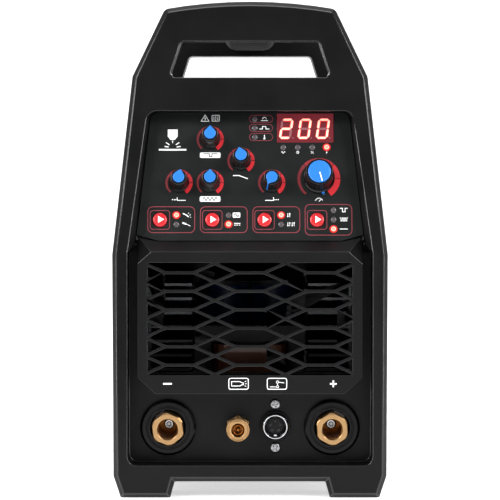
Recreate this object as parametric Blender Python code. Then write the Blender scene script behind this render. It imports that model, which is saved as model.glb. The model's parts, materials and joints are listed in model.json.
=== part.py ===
"""Inverter TIG welding machine: moulded end bezels, a folded steel case, front controls and the works.

Sizes are in millimetres, and each mesh is scaled to metres as it is made.
X runs to the right, Y from the front to the back, Z up; the origin is under the middle of the case.
A mesh's Y is its depth behind the front rim plane, except in the control panel's own frame.
"""

import math

import bmesh
import bpy
from mathutils import Matrix, Vector

MM = 0.001
GAP = 0.3
OVER = 2.0

# ---- Case ----
LENGTH = 420.0
FRONT_Y = -LENGTH / 2
HALF_WIDTH = 94.0
SHOULDER_Z = 166.3
HANDLE_Z, HANDLE_HALF_WIDTH = 288.0, 81.5
TOP_CORNER, TOP_Z, TOP_RADIUS = (59.4, 335.3), 340.5, 5.0
FOOT_INNER, FOOT_OUTER = 54.5, 88.5
FOOT_SIDE = (93.5, 15.0)
NOTCH = (51.5, 11.0)
LEAN_DEG = 17.0
LEAN = math.tan(math.radians(LEAN_DEG))
UP_SLOPE = math.cos(math.radians(LEAN_DEG))
RIM_CHAMFER, RIM_CHAMFER_DEPTH = 3.0, 4.0
FRONT_BEZEL_DEPTH, REAR_BEZEL_DEPTH = 38.0, 44.0
SKIN = 3.0

# ---- Recesses and slots in the bezels ----
RECESS_HALF, RECESS_TOP_HALF = 83.5, 70.6
RECESS_BOTTOM_Z, RECESS_TOP_Z = 22.4, 264.2
RECESS_RADIUS = 6.0
SOCKET_FLOOR = 22.0
LEDGE_Z = 176.0
REAR_FLOOR = 390.0
SLOT_Z, SLOT_HALVES, SLOT_RADIUS, REAR_SLOT_DROP = (287.4, 312.7), (56.0, 48.0), 3.0, 3.3
POCKET_HALF, POCKET_Z, POCKET_TOP_HALF = 91.0, (14.5, 281.0), 79.2

# ---- Control panel, in its own frame: X right, Y into the machine, Z up the slope ----
PANEL_Z, PANEL_RECESS, PANEL_THICKNESS = 175.0, 14.34, 2.0
PANEL_FLOOR = PANEL_RECESS + PANEL_THICKNESS + GAP
PANEL_BOTTOM, PANEL_SIDE, PANEL_CROWN = (63.0, 0.4), (77.7, 4.6), (68.6, 92.3)
SMALL_KNOBS = {
    "ac_balance": (-27.5, 72.9, 0.0),
    "ac_frequency": (-27.5, 41.7, 2.0),
    "pre_flow": (-48.9, 41.7, 15.0),
    "down_slope": (-6.2, 57.5, -15.0),
    "post_flow": (15.0, 41.7, -150.0),
}
CURRENT_KNOB = (47.5, 44.5, 165.0)
KNOB_FRONT, CURRENT_KNOB_FRONT, KNOB_BACK = -14.1, -18.1, -0.9
BUTTONS = {"process": -61.9, "current_type": -25.9, "trigger_mode": 10.0, "pulse": 46.1}
BUTTON_V, BUTTON_RADIUS = 15.1, 4.9
WINDOW_CENTRE, WINDOW_SIZE = (38.2, 81.1), (39.2, 20.8)
LAMP_RADIUS = 1.5
LAMPS = [(x, 66.7) for x in (23.0, 33.0, 43.0, 53.0)]
LAMPS += [(3.3, v) for v in (74.1, 80.7, 87.2)]
LAMPS += [(x, v) for x in (-50.6, -14.7, 21.4) for v in (11.6, 18.1)]
LAMPS += [(57.4, v) for v in (8.2, 15.0, 21.7)]
BOARD_Y, BOARD_THICKNESS = 11.0, 1.6

# ---- Grille block on the front ----
GRILLE_FRONT, GRILLE_HALF = 5.0, 76.8
GRILLE_BOTTOM, GRILLE_TOP = (64.7, 70.9), (67.4, 168.1)
GRILLE_SIDE_Z = (82.2, 159.8)
VENT_HALF, VENT_Z, VENT_MARGIN, VENT_ROWS, VENT_WALL = 70.0, (84.4, 160.2), 0.6, 6, 4.5
VENT_COLUMN, VENT_BAR_HALF, VENT_BAR_WIDTH = 48.1, 9.6, 2.0

# ---- Sockets on the front ----
SOCKET_X, SOCKET_Z, SOCKET_BORE = 56.4, 46.5, 6.5
SOCKET_BARREL = 14.9
GAS_X, GAS_THREAD = -8.2, 6.6
TORCH_AT, TORCH_RADIUS, TORCH_SCREW_PITCH = (17.4, 47.4), 8.85, 30.2

# ---- Rear fittings ----
FAN_Z, FAN_BORE, FAN_SIZE, FAN_FRONT, FAN_BACK = 95.0, 53.0, 112.0, 361.7, 386.7
SWITCH_AT, GLAND_AT, INLET_AT = (-36.0, 208.0), (38.0, 208.0), (64.0, 36.0)
SWITCH_FLANGE, SWITCH_BODY, SWITCH_WELL = (33.0, 27.0), (28.0, 22.0), (24.0, 18.6)
GLAND_BARREL, INLET_BARREL = 10.0, 5.0

# ---- Folded case and handle ----
COVER_HALF, COVER_TOP_HALF, COVER_Z, SHEET = 90.0, 78.5, (15.0, 280.5), 1.2
COVER_FRONT, COVER_BACK = 28.3, 384.5
TRAY_HALF, TRAY_Z, TRAY_TOP_Z, TRAY_SHEET = 88.4, 15.2, 31.2, 1.5
SCREW_DEPTHS, SCREW_Z, SCREW_RADIUS = (70.0, 340.0), 23.0, 1.5
GRIP_SIZE, BAR_SIZE, GRIP_Z, GRIP_END_GAP = (40.0, 24.0), (24.0, 12.0), 326.0, 1.4
POWER_BOARD_Z = 24.0


# ---------------------------------------------------------------- outlines in X and Z

def lean_at(z):
    """How far the sloping upper front lies behind the lower rim plane at height z."""
    return max(0.0, z - SHOULDER_Z) * LEAN


def mirrored(half):
    """A closed outline from its right half, listed from the bottom up."""
    return list(half) + [(-x, z) for x, z in reversed(half) if x > 0]


def arc(centre, radius, start_deg, end_deg, steps):
    angles = [math.radians(start_deg + (end_deg - start_deg) * i / steps) for i in range(steps + 1)]
    return [(centre[0] + radius * math.cos(a), centre[1] + radius * math.sin(a)) for a in angles]


def circle(centre, radius, segments=24):
    return arc(centre, radius, 0, 360, segments)[:-1]


def fillet(before, corner, after, radius, steps=4):
    """The round that replaces the corner between two straight edges."""
    corner = Vector(corner)
    to_before, to_after = (Vector(before) - corner).normalized(), (Vector(after) - corner).normalized()
    half_angle = to_before.angle(to_after) / 2
    centre = corner + (to_before + to_after).normalized() * (radius / math.sin(half_angle))
    reach = radius / math.tan(half_angle)
    first, last = corner + to_before * reach - centre, corner + to_after * reach - centre
    return [tuple(centre + first.slerp(last, i / steps) * radius) for i in range(steps + 1)]


def rounded(points, radius, steps=3):
    """A closed outline with every corner rounded."""
    corners = zip(points[-1:] + points[:-1], points, points[1:] + points[:1])
    return [p for corner in corners for p in fillet(*corner, radius, steps)]


def rectangle(centre, size, radius=0.0):
    left, right = centre[0] - size[0] / 2, centre[0] + size[0] / 2
    low, high = centre[1] - size[1] / 2, centre[1] + size[1] / 2
    corners = [(left, low), (right, low), (right, high), (left, high)]
    return rounded(corners, radius) if radius else corners


def hexagon(centre, across_flats, turned_radius, segments=24):
    """A hexagon with level flats left and right, whose corners are turned down to a circle."""
    found = []
    for i in range(segments):
        angle = 2 * math.pi * i / segments
        off_flat = (angle + math.pi / 6) % (math.pi / 3) - math.pi / 6
        radius = min(turned_radius, across_flats / 2 / math.cos(off_flat))
        found.append((centre[0] + radius * math.cos(angle), centre[1] + radius * math.sin(angle)))
    return found


def offset(points, distance):
    """An anticlockwise outline moved inwards."""
    found = []
    for i, corner in enumerate(points):
        into = (Vector(corner) - Vector(points[i - 1])).normalized()
        out = (Vector(points[(i + 1) % len(points)]) - Vector(corner)).normalized()
        normal = Vector((-into.y, into.x))
        bisector = (normal + Vector((-out.y, out.x))).normalized()
        found.append(tuple(Vector(corner) + bisector * (distance / bisector.dot(normal))))
    return found


def clipped(points, axis, limit, sign):
    """The part of a convex outline on one side of a level or upright line."""
    found = []
    for i, here in enumerate(points):
        before = points[i - 1]
        inside, was_inside = sign * (limit - here[axis]) >= 0, sign * (limit - before[axis]) >= 0
        if inside != was_inside:
            share = (limit - before[axis]) / (here[axis] - before[axis])
            found.append(tuple(b + (h - b) * share for b, h in zip(before, here)))
        if inside:
            found.append(here)
    return found


def housing_outline():
    """The front view of both bezels: feet, straight sides, tapering shoulders and an arched top."""
    rise = TOP_Z - TOP_CORNER[1]
    radius = (TOP_CORNER[0] ** 2 + rise**2) / (2 * rise)
    arch = [(x, TOP_Z - radius + math.sqrt(radius**2 - x * x)) for x in (45.0, 30.0, 15.0, 0.0)]
    half = [NOTCH, (FOOT_INNER, 0.0), (FOOT_OUTER, 0.0), FOOT_SIDE, (HALF_WIDTH, SHOULDER_Z)]
    shoulder = (HANDLE_HALF_WIDTH, HANDLE_Z)
    half += [shoulder, *fillet(shoulder, TOP_CORNER, arch[0], TOP_RADIUS), *arch]
    return mirrored(half)


def slot_outline(drop=0.0):
    (low, high), (wide, narrow) = SLOT_Z, SLOT_HALVES
    narrow += (wide - narrow) * drop / (high - low)
    return rounded(mirrored([(wide, low), (narrow, high - drop)]), SLOT_RADIUS)


def pocket_outline(from_z=POCKET_Z[0]):
    """The inside of a bezel's flange, above the given height."""
    taper = (POCKET_HALF - POCKET_TOP_HALF) / (POCKET_Z[1] - SHOULDER_Z)
    half = [(POCKET_HALF - taper * max(0.0, from_z - SHOULDER_Z), from_z)]
    if from_z < SHOULDER_Z:
        half.append((POCKET_HALF, SHOULDER_Z))
    return mirrored([*half, (POCKET_TOP_HALF, POCKET_Z[1])])


def panel_outline(grow=0.0):
    """The control panel in its own frame, with cut lower corners and round upper ones."""
    bottom, side = [(x + grow, v - grow) for x, v in (PANEL_BOTTOM, PANEL_SIDE)]
    crown = (PANEL_CROWN[0] + grow, PANEL_CROWN[1] + grow)
    return [bottom, side, *fillet(side, crown, (0.0, crown[1]), RECESS_RADIUS)]


# ---------------------------------------------------------------- meshes

def loft(loops):
    """A closed body through loops of equal length."""
    bm = bmesh.new()
    rings = [[bm.verts.new(p) for p in loop] for loop in loops]
    bm.faces.new(rings[0])
    bm.faces.new(rings[-1])
    for near, far in zip(rings, rings[1:]):
        for i in range(len(near)):
            bm.faces.new((near[i - 1], near[i], far[i], far[i - 1]))
    bmesh.ops.recalc_face_normals(bm, faces=bm.faces)
    return bm


def prism(outline, front, back):
    """An outline drawn out along Y."""
    return loft([[(x, y, z) for x, z in outline] for y in (front, back)])


def rod(centre, radius, front, back, segments=24):
    return prism(circle(centre, radius, segments), front, back)


def box(low, high):
    centre = ((low[0] + high[0]) / 2, (low[2] + high[2]) / 2)
    return prism(rectangle(centre, (high[0] - low[0], high[2] - low[2])), low[1], high[1])


def lathe(profile, centre=(0.0, 0.0), segments=24):
    """A body turned about an axis along Y: a ring, or solid if its profile starts on the axis."""
    bm = bmesh.new()
    solid = profile[0][0] == 0
    rings = []
    for radius, y in profile:
        places = circle(centre, radius, segments) if radius else [centre]
        rings.append([bm.verts.new((x, y, z)) for x, z in places])
    pairs = zip(rings, rings[1:] if solid else rings[1:] + rings[:1])
    for near, far in pairs:
        for i in range(segments):
            steps = ((near, i), (near, i + 1), (far, i + 1), (far, i))
            bm.faces.new(dict.fromkeys(ring[j % len(ring)] for ring, j in steps))
    bmesh.ops.recalc_face_normals(bm, faces=bm.faces)
    return bm


def together(meshes):
    """Several bodies in one mesh, for a cutter or for joining on."""
    whole = bmesh.new()
    for bm in meshes:
        piece = bpy.data.meshes.new("piece")
        bm.to_mesh(piece)
        bm.free()
        whole.from_mesh(piece)
        bpy.data.meshes.remove(piece)
    return whole


def placed(bm, turn_deg=0.0, axis="Z", at=(0.0, 0.0, 0.0)):
    """A mesh turned about an axis through the origin, then moved."""
    bm.transform(Matrix.Translation(at) @ Matrix.Rotation(math.radians(turn_deg), 4, axis))
    return bm


def leaned(bm, before=LENGTH):
    """Shears what lies above the shoulder and in front of a depth back to the upper front's slope."""
    everything = list(bm.verts) + list(bm.edges) + list(bm.faces)
    level = {"plane_co": (0.0, 0.0, SHOULDER_Z), "plane_no": (0.0, 0.0, 1.0)}
    bmesh.ops.bisect_plane(bm, geom=everything, dist=MM, **level)
    for vert in bm.verts:
        if vert.co.y < before:
            vert.co.y += lean_at(vert.co.z)
    return bm


# ---------------------------------------------------------------- objects

def material(name, colour, roughness, metallic=0.0):
    made = bpy.data.materials.new(name)
    made.use_nodes = True
    shader = made.node_tree.nodes["Principled BSDF"]
    shader.inputs["Base Color"].default_value = (*colour, 1.0)
    shader.inputs["Roughness"].default_value = roughness
    shader.inputs["Metallic"].default_value = metallic
    return made


def add(name, bm, finish, parent=None, at=(0.0, FRONT_Y, 0.0), turn_deg=0.0):
    """An object from a mesh, placed and turned about its own Y axis."""
    bm.transform(Matrix.Scale(MM, 4))
    data = bpy.data.meshes.new(name)
    bm.to_mesh(data)
    bm.free()
    data.materials.append(finish)
    data.shade_smooth()
    data.set_sharp_from_angle(angle=math.radians(35))
    obj = bpy.data.objects.new(name, data)
    bpy.context.scene.collection.objects.link(obj)
    obj.parent = parent
    obj.location = Vector(at) * MM
    obj.rotation_euler = (0.0, math.radians(turn_deg), 0.0)
    return obj


def shape(obj, bm, operation):
    tool = add(f"{obj.name}_tool_{len(obj.modifiers)}", bm, obj.data.materials[0], obj, (0.0, 0.0, 0.0))
    tool.hide_render = True
    tool.display_type = "WIRE"
    modifier = obj.modifiers.new(operation.lower(), "BOOLEAN")
    modifier.operation = operation
    modifier.solver = "EXACT"
    modifier.object = tool


def cut(obj, *meshes):
    """Cuts bodies that don't touch each other out of an object."""
    shape(obj, together(meshes), "DIFFERENCE")


def join(obj, *meshes):
    """Joins bodies that don't touch each other onto an object."""
    shape(obj, together(meshes), "UNION")


# ---------------------------------------------------------------- bezels

def bezel_blank(rings):
    """The outer body of a bezel through (inset, depth) pairs."""
    outline = housing_outline()
    loops = [(offset(outline, inset) if inset else outline, depth) for inset, depth in rings]
    return loft([[(x, depth, z) for x, z in loop] for loop, depth in loops])


def upper_recess():
    """The sunken field of the control panel, with drafted side walls."""
    side, crown = (RECESS_HALF - 1.5, SHOULDER_Z + 11.6), (RECESS_TOP_HALF, RECESS_TOP_Z)
    corner = fillet(side, crown, (0.0, crown[1]), RECESS_RADIUS + 1.0)
    rim = [(RECESS_HALF, SHOULDER_Z + 1.0), side, *corner]
    floor = [(x, PANEL_Z + v * UP_SLOPE) for x, v in panel_outline(GAP)]
    floor[0] = (floor[1][0] + 0.6, SHOULDER_Z + 4.0)
    loops = [(rim, -OVER), (rim, 0.0), (floor, PANEL_FLOOR)]
    return loft([[(x, y, z) for x, z in mirrored(half)] for half, y in loops])


def recess_corner():
    """The round at the bottom right of both recesses."""
    corner = (RECESS_HALF, RECESS_BOTTOM_Z)
    return fillet((0.0, RECESS_BOTTOM_Z), corner, (RECESS_HALF, SHOULDER_Z), RECESS_RADIUS)


def lower_recess():
    """The straight-walled field of the grille block and the sockets."""
    inner_half = PANEL_SIDE[0] + 1.3
    half = recess_corner()
    half += [(RECESS_HALF, SHOULDER_Z + 1.7), (inner_half, SHOULDER_Z + 5.7), (inner_half, LEDGE_Z)]
    return prism(mirrored(half), -OVER, SOCKET_FLOOR)


def front_bezel(finish):
    """The leaning front moulding: rim, panel recess, socket recess, hand slot and feet."""
    back = FRONT_BEZEL_DEPTH + OVER
    blank = bezel_blank([(RIM_CHAMFER, 0.0), (0.0, RIM_CHAMFER_DEPTH), (0.0, FRONT_BEZEL_DEPTH)])
    obj = add("front_bezel", leaned(blank), finish)
    cut(obj, leaned(lower_recess()))
    cut(obj, leaned(upper_recess()))
    cut(obj, leaned(prism(slot_outline(), -OVER, back)))
    cut(obj, leaned(prism(pocket_outline(), SOCKET_FLOOR + SKIN, back)))
    above_ledge = LEDGE_Z + 2.3
    cut(obj, leaned(prism(pocket_outline(above_ledge), PANEL_FLOOR + SKIN, SOCKET_FLOOR + SKIN + OVER)))
    window = mirrored([(71.0, above_ledge), (PANEL_CROWN[0] - 5.0, PANEL_Z + 91.0 * UP_SLOPE)])
    cut(obj, leaned(prism(window, PANEL_RECESS, SOCKET_FLOOR)))
    through = (SOCKET_FLOOR - OVER, SOCKET_FLOOR + SKIN + OVER)
    holes = [rod((side * SOCKET_X, SOCKET_Z), SOCKET_BARREL + GAP, *through) for side in (-1, 1)]
    holes.append(rod((GAS_X, SOCKET_Z), GAS_THREAD + GAP, *through, 16))
    holes.append(rod(TORCH_AT, TORCH_RADIUS + GAP, *through))
    holes += [rod(place, SCREW_RADIUS + GAP, *through, 10) for place in torch_screw_places()]
    air_inlet = rectangle((0.0, sum(VENT_Z) / 2), (2 * VENT_HALF, VENT_Z[1] - VENT_Z[0]))
    holes.append(prism(air_inlet, *through))
    cut(obj, *holes)
    socket = rectangle((0.0, GRIP_Z), [size + 2 * GAP for size in BAR_SIZE])
    cut(obj, leaned(prism(socket, SOCKET_FLOOR - 1.0, back)))


def rear_bezel(finish):
    """The upright rear moulding, with a deep recess for the fan guard, switch, gland and gas inlet."""
    start = LENGTH - REAR_BEZEL_DEPTH
    blank = bezel_blank([(0.0, start), (0.0, LENGTH - RIM_CHAMFER_DEPTH), (RIM_CHAMFER, LENGTH)])
    obj = add("rear_bezel", blank, finish)
    shoulder, crown = (RECESS_HALF, SHOULDER_Z), (RECESS_TOP_HALF, RECESS_TOP_Z)
    half = [*recess_corner(), shoulder, *fillet(shoulder, crown, (0.0, crown[1]), RECESS_RADIUS)]
    cut(obj, prism(mirrored(half), REAR_FLOOR, LENGTH + OVER))
    cut(obj, prism(pocket_outline(), start - OVER, REAR_FLOOR - SKIN))
    cut(obj, prism(slot_outline(REAR_SLOT_DROP), start - OVER, LENGTH + OVER))
    through = (REAR_FLOOR - SKIN - OVER, REAR_FLOOR + OVER)
    holes = [rod((0.0, FAN_Z), FAN_BORE, *through, 32)]
    holes.append(prism(rectangle(SWITCH_AT, [size + 2 * GAP for size in SWITCH_BODY]), *through))
    holes.append(rod(GLAND_AT, GLAND_BARREL + GAP, *through, 16))
    holes.append(rod(INLET_AT, INLET_BARREL + GAP, *through, 12))
    cut(obj, *holes)
    socket = rectangle((0.0, GRIP_Z), [size + 2 * GAP for size in BAR_SIZE])
    cut(obj, prism(socket, start - OVER, start + 12.0))


# ---------------------------------------------------------------- folded case and handle

def cover_outline():
    """The folded cover's section: one strip of sheet up a side, over the top and down the other."""
    low, high = COVER_Z
    strip = []
    for inset, radius in ((0.0, 6.0), (SHEET, 6.0 - SHEET)):
        shoulder, edge = (COVER_HALF - inset, SHOULDER_Z), (COVER_TOP_HALF - inset, high - inset)
        half = [(COVER_HALF - inset, low), shoulder, *fillet(shoulder, edge, (0.0, edge[1]), radius, 3)]
        strip.append(half + [(-x, z) for x, z in reversed(half)])
    return strip[0] + strip[1][::-1]


def across(radius, depth, z):
    """A rod from side to side of the case."""
    return placed(rod((0.0, 0.0), radius, -HALF_WIDTH, HALF_WIDTH, 8), 90, "Z", (0.0, depth, z))


def cover(finish):
    """The folded steel cover, with rows of air slots in both sides."""
    obj = add("cover", leaned(prism(cover_outline(), COVER_FRONT, COVER_BACK), LENGTH / 2), finish)
    half_length, half_height, pitch, rows, lowest_z = 22.0, 2.0, 11.0, 6, 60.0
    slots = []
    for depth in (210.0, 270.0, 330.0):
        for row in range(rows):
            z = lowest_z + row * pitch
            low, high = (depth - half_length, z - half_height), (depth + half_length, z + half_height)
            slots.append(box((-HALF_WIDTH, *low), (HALF_WIDTH, *high)))
    cut(obj, *slots, *[across(SCREW_RADIUS + GAP, depth, SCREW_Z) for depth in SCREW_DEPTHS])


def base_tray(finish):
    """The folded steel tray, with four studs that carry the power board."""
    inner = TRAY_HALF - TRAY_SHEET
    half = [(TRAY_HALF, TRAY_Z), (TRAY_HALF, TRAY_TOP_Z)]
    half += [(inner, TRAY_TOP_Z), (inner, TRAY_Z + TRAY_SHEET)]
    obj = add("base_tray", prism(mirrored(half), COVER_FRONT, COVER_BACK - 0.5), finish)
    stud = (3.0, TRAY_Z + 0.5, POWER_BOARD_Z - GAP)
    studs = [upright(*stud, (x, depth)) for x in (-70.0, 70.0) for depth in (80.0, 342.0)]
    join(obj, *studs)
    cut(obj, *[across(SCREW_RADIUS + GAP, depth, SCREW_Z) for depth in SCREW_DEPTHS])


def upright(radius, low, high, place, segments=8):
    """A rod standing at a place (x, depth)."""
    return placed(rod((0.0, 0.0), radius, low, high, segments), 90, "X", (*place, 0.0))


def cover_screws(finish):
    """Pan-head screws through the cover's lower edge into the tray."""
    head = [(0.0, -2.5), (2.6, -2.2), (3.6, -1.2), (3.6, -GAP)]
    profile = [*head, (SCREW_RADIUS, -GAP), (SCREW_RADIUS, 7.0), (0.0, 7.0)]
    for side, label in ((-1, "left"), (1, "right")):
        for depth, end in zip(SCREW_DEPTHS, ("front", "rear")):
            at = (side * COVER_HALF, depth, SCREW_Z)
            screw = placed(lathe(profile, segments=10), 90 * side, "Z", at)
            add(f"cover_screw_{label}_{end}", screw, finish)


def handle(bar_finish, grip_finish):
    """A steel bar let into both bezels, and the moulded grip round it."""
    add("handle_bar", prism(rectangle((0.0, GRIP_Z), BAR_SIZE), 73.0, 387.5), bar_finish)
    outline = rectangle((0.0, GRIP_Z), GRIP_SIZE, 9.0)
    front, back = FRONT_BEZEL_DEPTH + GRIP_END_GAP, LENGTH - REAR_BEZEL_DEPTH - GAP
    ends = [[(x, front + lean_at(z), z) for x, z in outline], [(x, back, z) for x, z in outline]]
    grip = add("handle_grip", loft(ends), grip_finish)
    cut(grip, prism(rectangle((0.0, GRIP_Z), [size + 2 * GAP for size in BAR_SIZE]), 60.0, LENGTH))


# ---------------------------------------------------------------- grille block

def vent_cells():
    """The lattice's openings: long hexagons in columns, with diamonds between them."""
    pitch = (VENT_Z[1] - VENT_Z[0]) / VENT_ROWS
    half_column, half_pitch, half_bar = VENT_COLUMN / 2, pitch / 2, VENT_BAR_WIDTH / 2
    low, high = VENT_Z[0] - VENT_MARGIN, VENT_Z[1] + VENT_MARGIN
    edges = ((0, VENT_HALF, 1), (0, -VENT_HALF, -1), (1, high, 1), (1, low, -1))
    hexagon_half = [(VENT_BAR_HALF, -half_pitch), (half_column, 0.0), (VENT_BAR_HALF, half_pitch)]
    diamond_half = [(0.0, -half_pitch), (half_column - VENT_BAR_HALF, 0.0), (0.0, half_pitch)]
    cells = []
    for column in (-1, 0, 1):
        cells += [(column * VENT_COLUMN, row, hexagon_half) for row in range(VENT_ROWS + 1)]
    for column in (-1.5, -0.5, 0.5, 1.5):
        cells += [(column * VENT_COLUMN, row + 0.5, diamond_half) for row in range(VENT_ROWS)]
    found = []
    for x, row, half in cells:
        z = VENT_Z[0] + row * pitch
        outline = offset([(x + dx, z + dz) for dx, dz in mirrored(half)], half_bar)
        for edge in edges:
            outline = clipped(outline, *edge)
        found.append(outline)
    return found


def front_grille(finish):
    """The eight-sided block round the air inlet; its sloping top carries up to the control panel."""
    panel_depth = PANEL_RECESS + lean_at(PANEL_Z)
    foot = [GRILLE_BOTTOM, (GRILLE_HALF, GRILLE_SIDE_Z[0])]
    front = [(*p, GRILLE_FRONT) for p in [*foot, (GRILLE_HALF, GRILLE_SIDE_Z[1]), GRILLE_TOP]]
    middle = [(*p, panel_depth) for p in foot]
    middle.append((GRILLE_HALF, PANEL_Z + 2.6, panel_depth + 1.1))
    middle.append((PANEL_BOTTOM[0], PANEL_Z - 0.1, panel_depth))
    top = [(GRILLE_HALF, PANEL_Z - 1.2), (PANEL_BOTTOM[0], PANEL_Z - 1.4)]
    back = [(*p, SOCKET_FLOOR - GAP) for p in [*foot, *top]]
    loops = []
    for half in (front, middle, back):
        loops.append([(x, y, z) for x, z, y in half] + [(-x, y, z) for x, z, y in reversed(half)])
    body = loft(loops)
    bmesh.ops.triangulate(body, faces=body.faces)
    obj = add("front_grille", body, finish)
    low, high = VENT_Z
    inside = rectangle((0.0, (low + high) / 2), (2 * VENT_HALF + OVER, high - low + OVER))
    cut(obj, prism(inside, GRILLE_FRONT + VENT_WALL, SOCKET_FLOOR + OVER))
    through = (GRILLE_FRONT - OVER, GRILLE_FRONT + VENT_WALL + OVER)
    cut(obj, *[prism(outline, *through) for outline in vent_cells()])


# ---------------------------------------------------------------- control panel

def knob_places():
    return [(x, v) for x, v, _ in [*SMALL_KNOBS.values(), CURRENT_KNOB]]


def control_panel(finish, frame):
    """The front plate, with holes for the controls, lamps and display."""
    plate = prism(mirrored(panel_outline()), 0.0, PANEL_THICKNESS)
    obj = add("control_panel", plate, finish, frame, (0, 0, 0))
    through = (-OVER, PANEL_THICKNESS + OVER)
    holes = [rod(at, 3.6, *through, 10) for at in knob_places()]
    holes += [rod((x, BUTTON_V), BUTTON_RADIUS + 2 * GAP, *through, 14) for x in BUTTONS.values()]
    holes += [rod(at, LAMP_RADIUS + 2 * GAP, *through, 6) for at in LAMPS]
    holes.append(prism(rectangle(WINDOW_CENTRE, [size + 2 * GAP for size in WINDOW_SIZE]), *through))
    cut(obj, *holes)


def knob_profile(front, body):
    """A knob on its spindle: the outside from the front down, the skirt's hollow, then the spindle."""
    return [(0.0, front), *body, (5.5, KNOB_BACK), (5.5, -4.2), (3.0, -4.2), (3.0, 2.3), (0.0, 2.3)]


def small_knobs(body_finish, cap_finish, frame):
    """Tapered knobs, each with a drop-shaped cap whose tip points at the scale."""
    for name, (x, v, pointer_deg) in SMALL_KNOBS.items():
        body = [(5.6, KNOB_FRONT), (6.2, -4.6), (7.0, -2.6), (7.0, KNOB_BACK)]
        spot = (frame, (x, 0.0, v), pointer_deg)
        add(f"knob_{name}", lathe(knob_profile(KNOB_FRONT, body), segments=16), body_finish, *spot)
        drop = [*arc((0.0, 0.0), 3.9, 135, 405, 10), (0.0, 5.45)]
        add(f"knob_cap_{name}", prism(drop, KNOB_FRONT - 1.4, KNOB_FRONT - GAP), cap_finish, *spot)


def current_knob(body_finish, cap_finish, frame):
    """The large output-current knob: a skirt with a pointer, a tall body and a flat round cap."""
    x, v, pointer_deg = CURRENT_KNOB
    front, spot = CURRENT_KNOB_FRONT, (frame, (x, 0.0, v), pointer_deg)
    body = [(8.8, front), (9.6, front + 0.8), (9.6, -4.4), (10.8, -3.4), (10.8, KNOB_BACK)]
    obj = add("knob_current", lathe(knob_profile(front, body), segments=24), body_finish, *spot)
    join(obj, prism([(-1.6, 10.0), (1.6, 10.0), (0.0, 12.6)], -3.0, KNOB_BACK - 0.4))
    add("knob_cap_current", rod((0.0, 0.0), 7.7, front - 1.4, front - GAP), cap_finish, *spot)


def buttons(finish, frame):
    """Round push buttons, each held behind the plate by its collar, over a switch on the board."""
    profile = [(0.0, -1.3), (4.3, -1.3), (BUTTON_RADIUS, -0.7), (BUTTON_RADIUS, 2.4)]
    profile += [(6.0, 2.4), (6.0, 3.6), (1.8, 3.6), (1.8, 6.4), (0.0, 6.4)]
    for name, x in BUTTONS.items():
        add(f"button_{name}", lathe(profile, segments=14), finish, frame, (x, 0.0, BUTTON_V))


def display(window_finish, module_finish, frame):
    """The tinted window in the plate, and the three-digit module behind it."""
    origin = (0.0, 0.0, 0.0)
    window = prism(rectangle(WINDOW_CENTRE, WINDOW_SIZE), 0.2, PANEL_THICKNESS - GAP)
    add("display_window", window, window_finish, frame, origin)
    module = prism(rectangle(WINDOW_CENTRE, (37.6, 19.0)), PANEL_THICKNESS + GAP, BOARD_Y - GAP)
    add("display_module", module, module_finish, frame, origin)


def control_board(finish, frame):
    """The board behind the plate, with its lamps, push switches and potentiometers soldered on."""
    board = prism(mirrored([(68.0, 5.5), (60.0, 90.0)]), BOARD_Y, BOARD_Y + BOARD_THICKNESS)
    obj = add("control_board", board, finish, frame, (0, 0, 0))
    seat = BOARD_Y + 0.5
    parts = [rod(at, LAMP_RADIUS, -0.6, seat, 6) for at in LAMPS]
    parts += [rod(at, 7.4, 2.6, seat, 10) for at in knob_places()]
    parts += [rod((x, BUTTON_V), 3.0, 7.6, seat, 8) for x in BUTTONS.values()]
    join(obj, *parts)


# ---------------------------------------------------------------- front sockets

def output_socket(side, label, flange_finish, brass_finish):
    """A cable socket: a stepped insulating flange, and a hexagonal brass insert with a plain bore."""
    at = (side * SOCKET_X, SOCKET_Z)
    seat, rear, clear = SOCKET_FLOOR - GAP, 36.0, 12.0
    rim = [(SOCKET_BARREL, seat), (19.2, seat), (19.2, 18.6), (17.4, 17.4)]
    sleeve = [(clear, 17.4), (clear, rear), (SOCKET_BARREL, rear)]
    add(f"{label}_socket_flange", lathe([*rim, *sleeve], at, 20), flange_finish)
    nose, shoulder, tail, bottom, screw_way = 6.5, 34.0, 54.0, 48.0, 3.7
    chamfered, full, end = hexagon(at, 20.4, 10.8), hexagon(at, 21.2, 11.35), circle(at, 9.0)
    loops = [(chamfered, nose), (full, nose + 0.7), (full, shoulder), (end, shoulder + 0.5), (end, tail)]
    body = loft([[(x, y, z) for x, z in ring] for ring, y in loops])
    insert = add(f"{label}_socket_insert", body, brass_finish)
    bore = [(0.0, nose - OVER), (SOCKET_BORE + OVER, nose - OVER), (SOCKET_BORE, nose + 1.0)]
    bore += [(SOCKET_BORE, bottom), (screw_way, bottom), (screw_way, tail + OVER), (0.0, tail + OVER)]
    cut(insert, lathe(bore, at, 16))


def output_bar(side, label, bar_finish, screw_finish):
    """A copper bar from a socket to a heatsink, and its screw, whose end shows in the bore."""
    x, foot, thick, half = SOCKET_X, 54.3, 2.5, 10.0
    plan = [(x - half, foot), (x + half, foot), (x + half, 174.7), (x + half - thick, 174.7)]
    plan += [(x + half - thick, foot + thick), (x - half, foot + thick)]
    bar = loft([[(side * px, y, z) for px, y in plan] for z in (SOCKET_Z - half, SOCKET_Z + half)])
    obj = add(f"output_bar_{label}", bar, bar_finish)
    at = (side * SOCKET_X, SOCKET_Z)
    cut(obj, rod(at, 3.7, foot - OVER, foot + thick + OVER, 12))
    head = foot + thick + GAP
    profile = [(0.0, 43.0), (2.9, 43.0), (3.3, 43.4), (3.3, head)]
    profile += [(6.0, head), (6.0, head + 5.0), (0.0, head + 5.0)]
    add(f"socket_screw_{label}", lathe(profile, at, 12), screw_finish)


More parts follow.
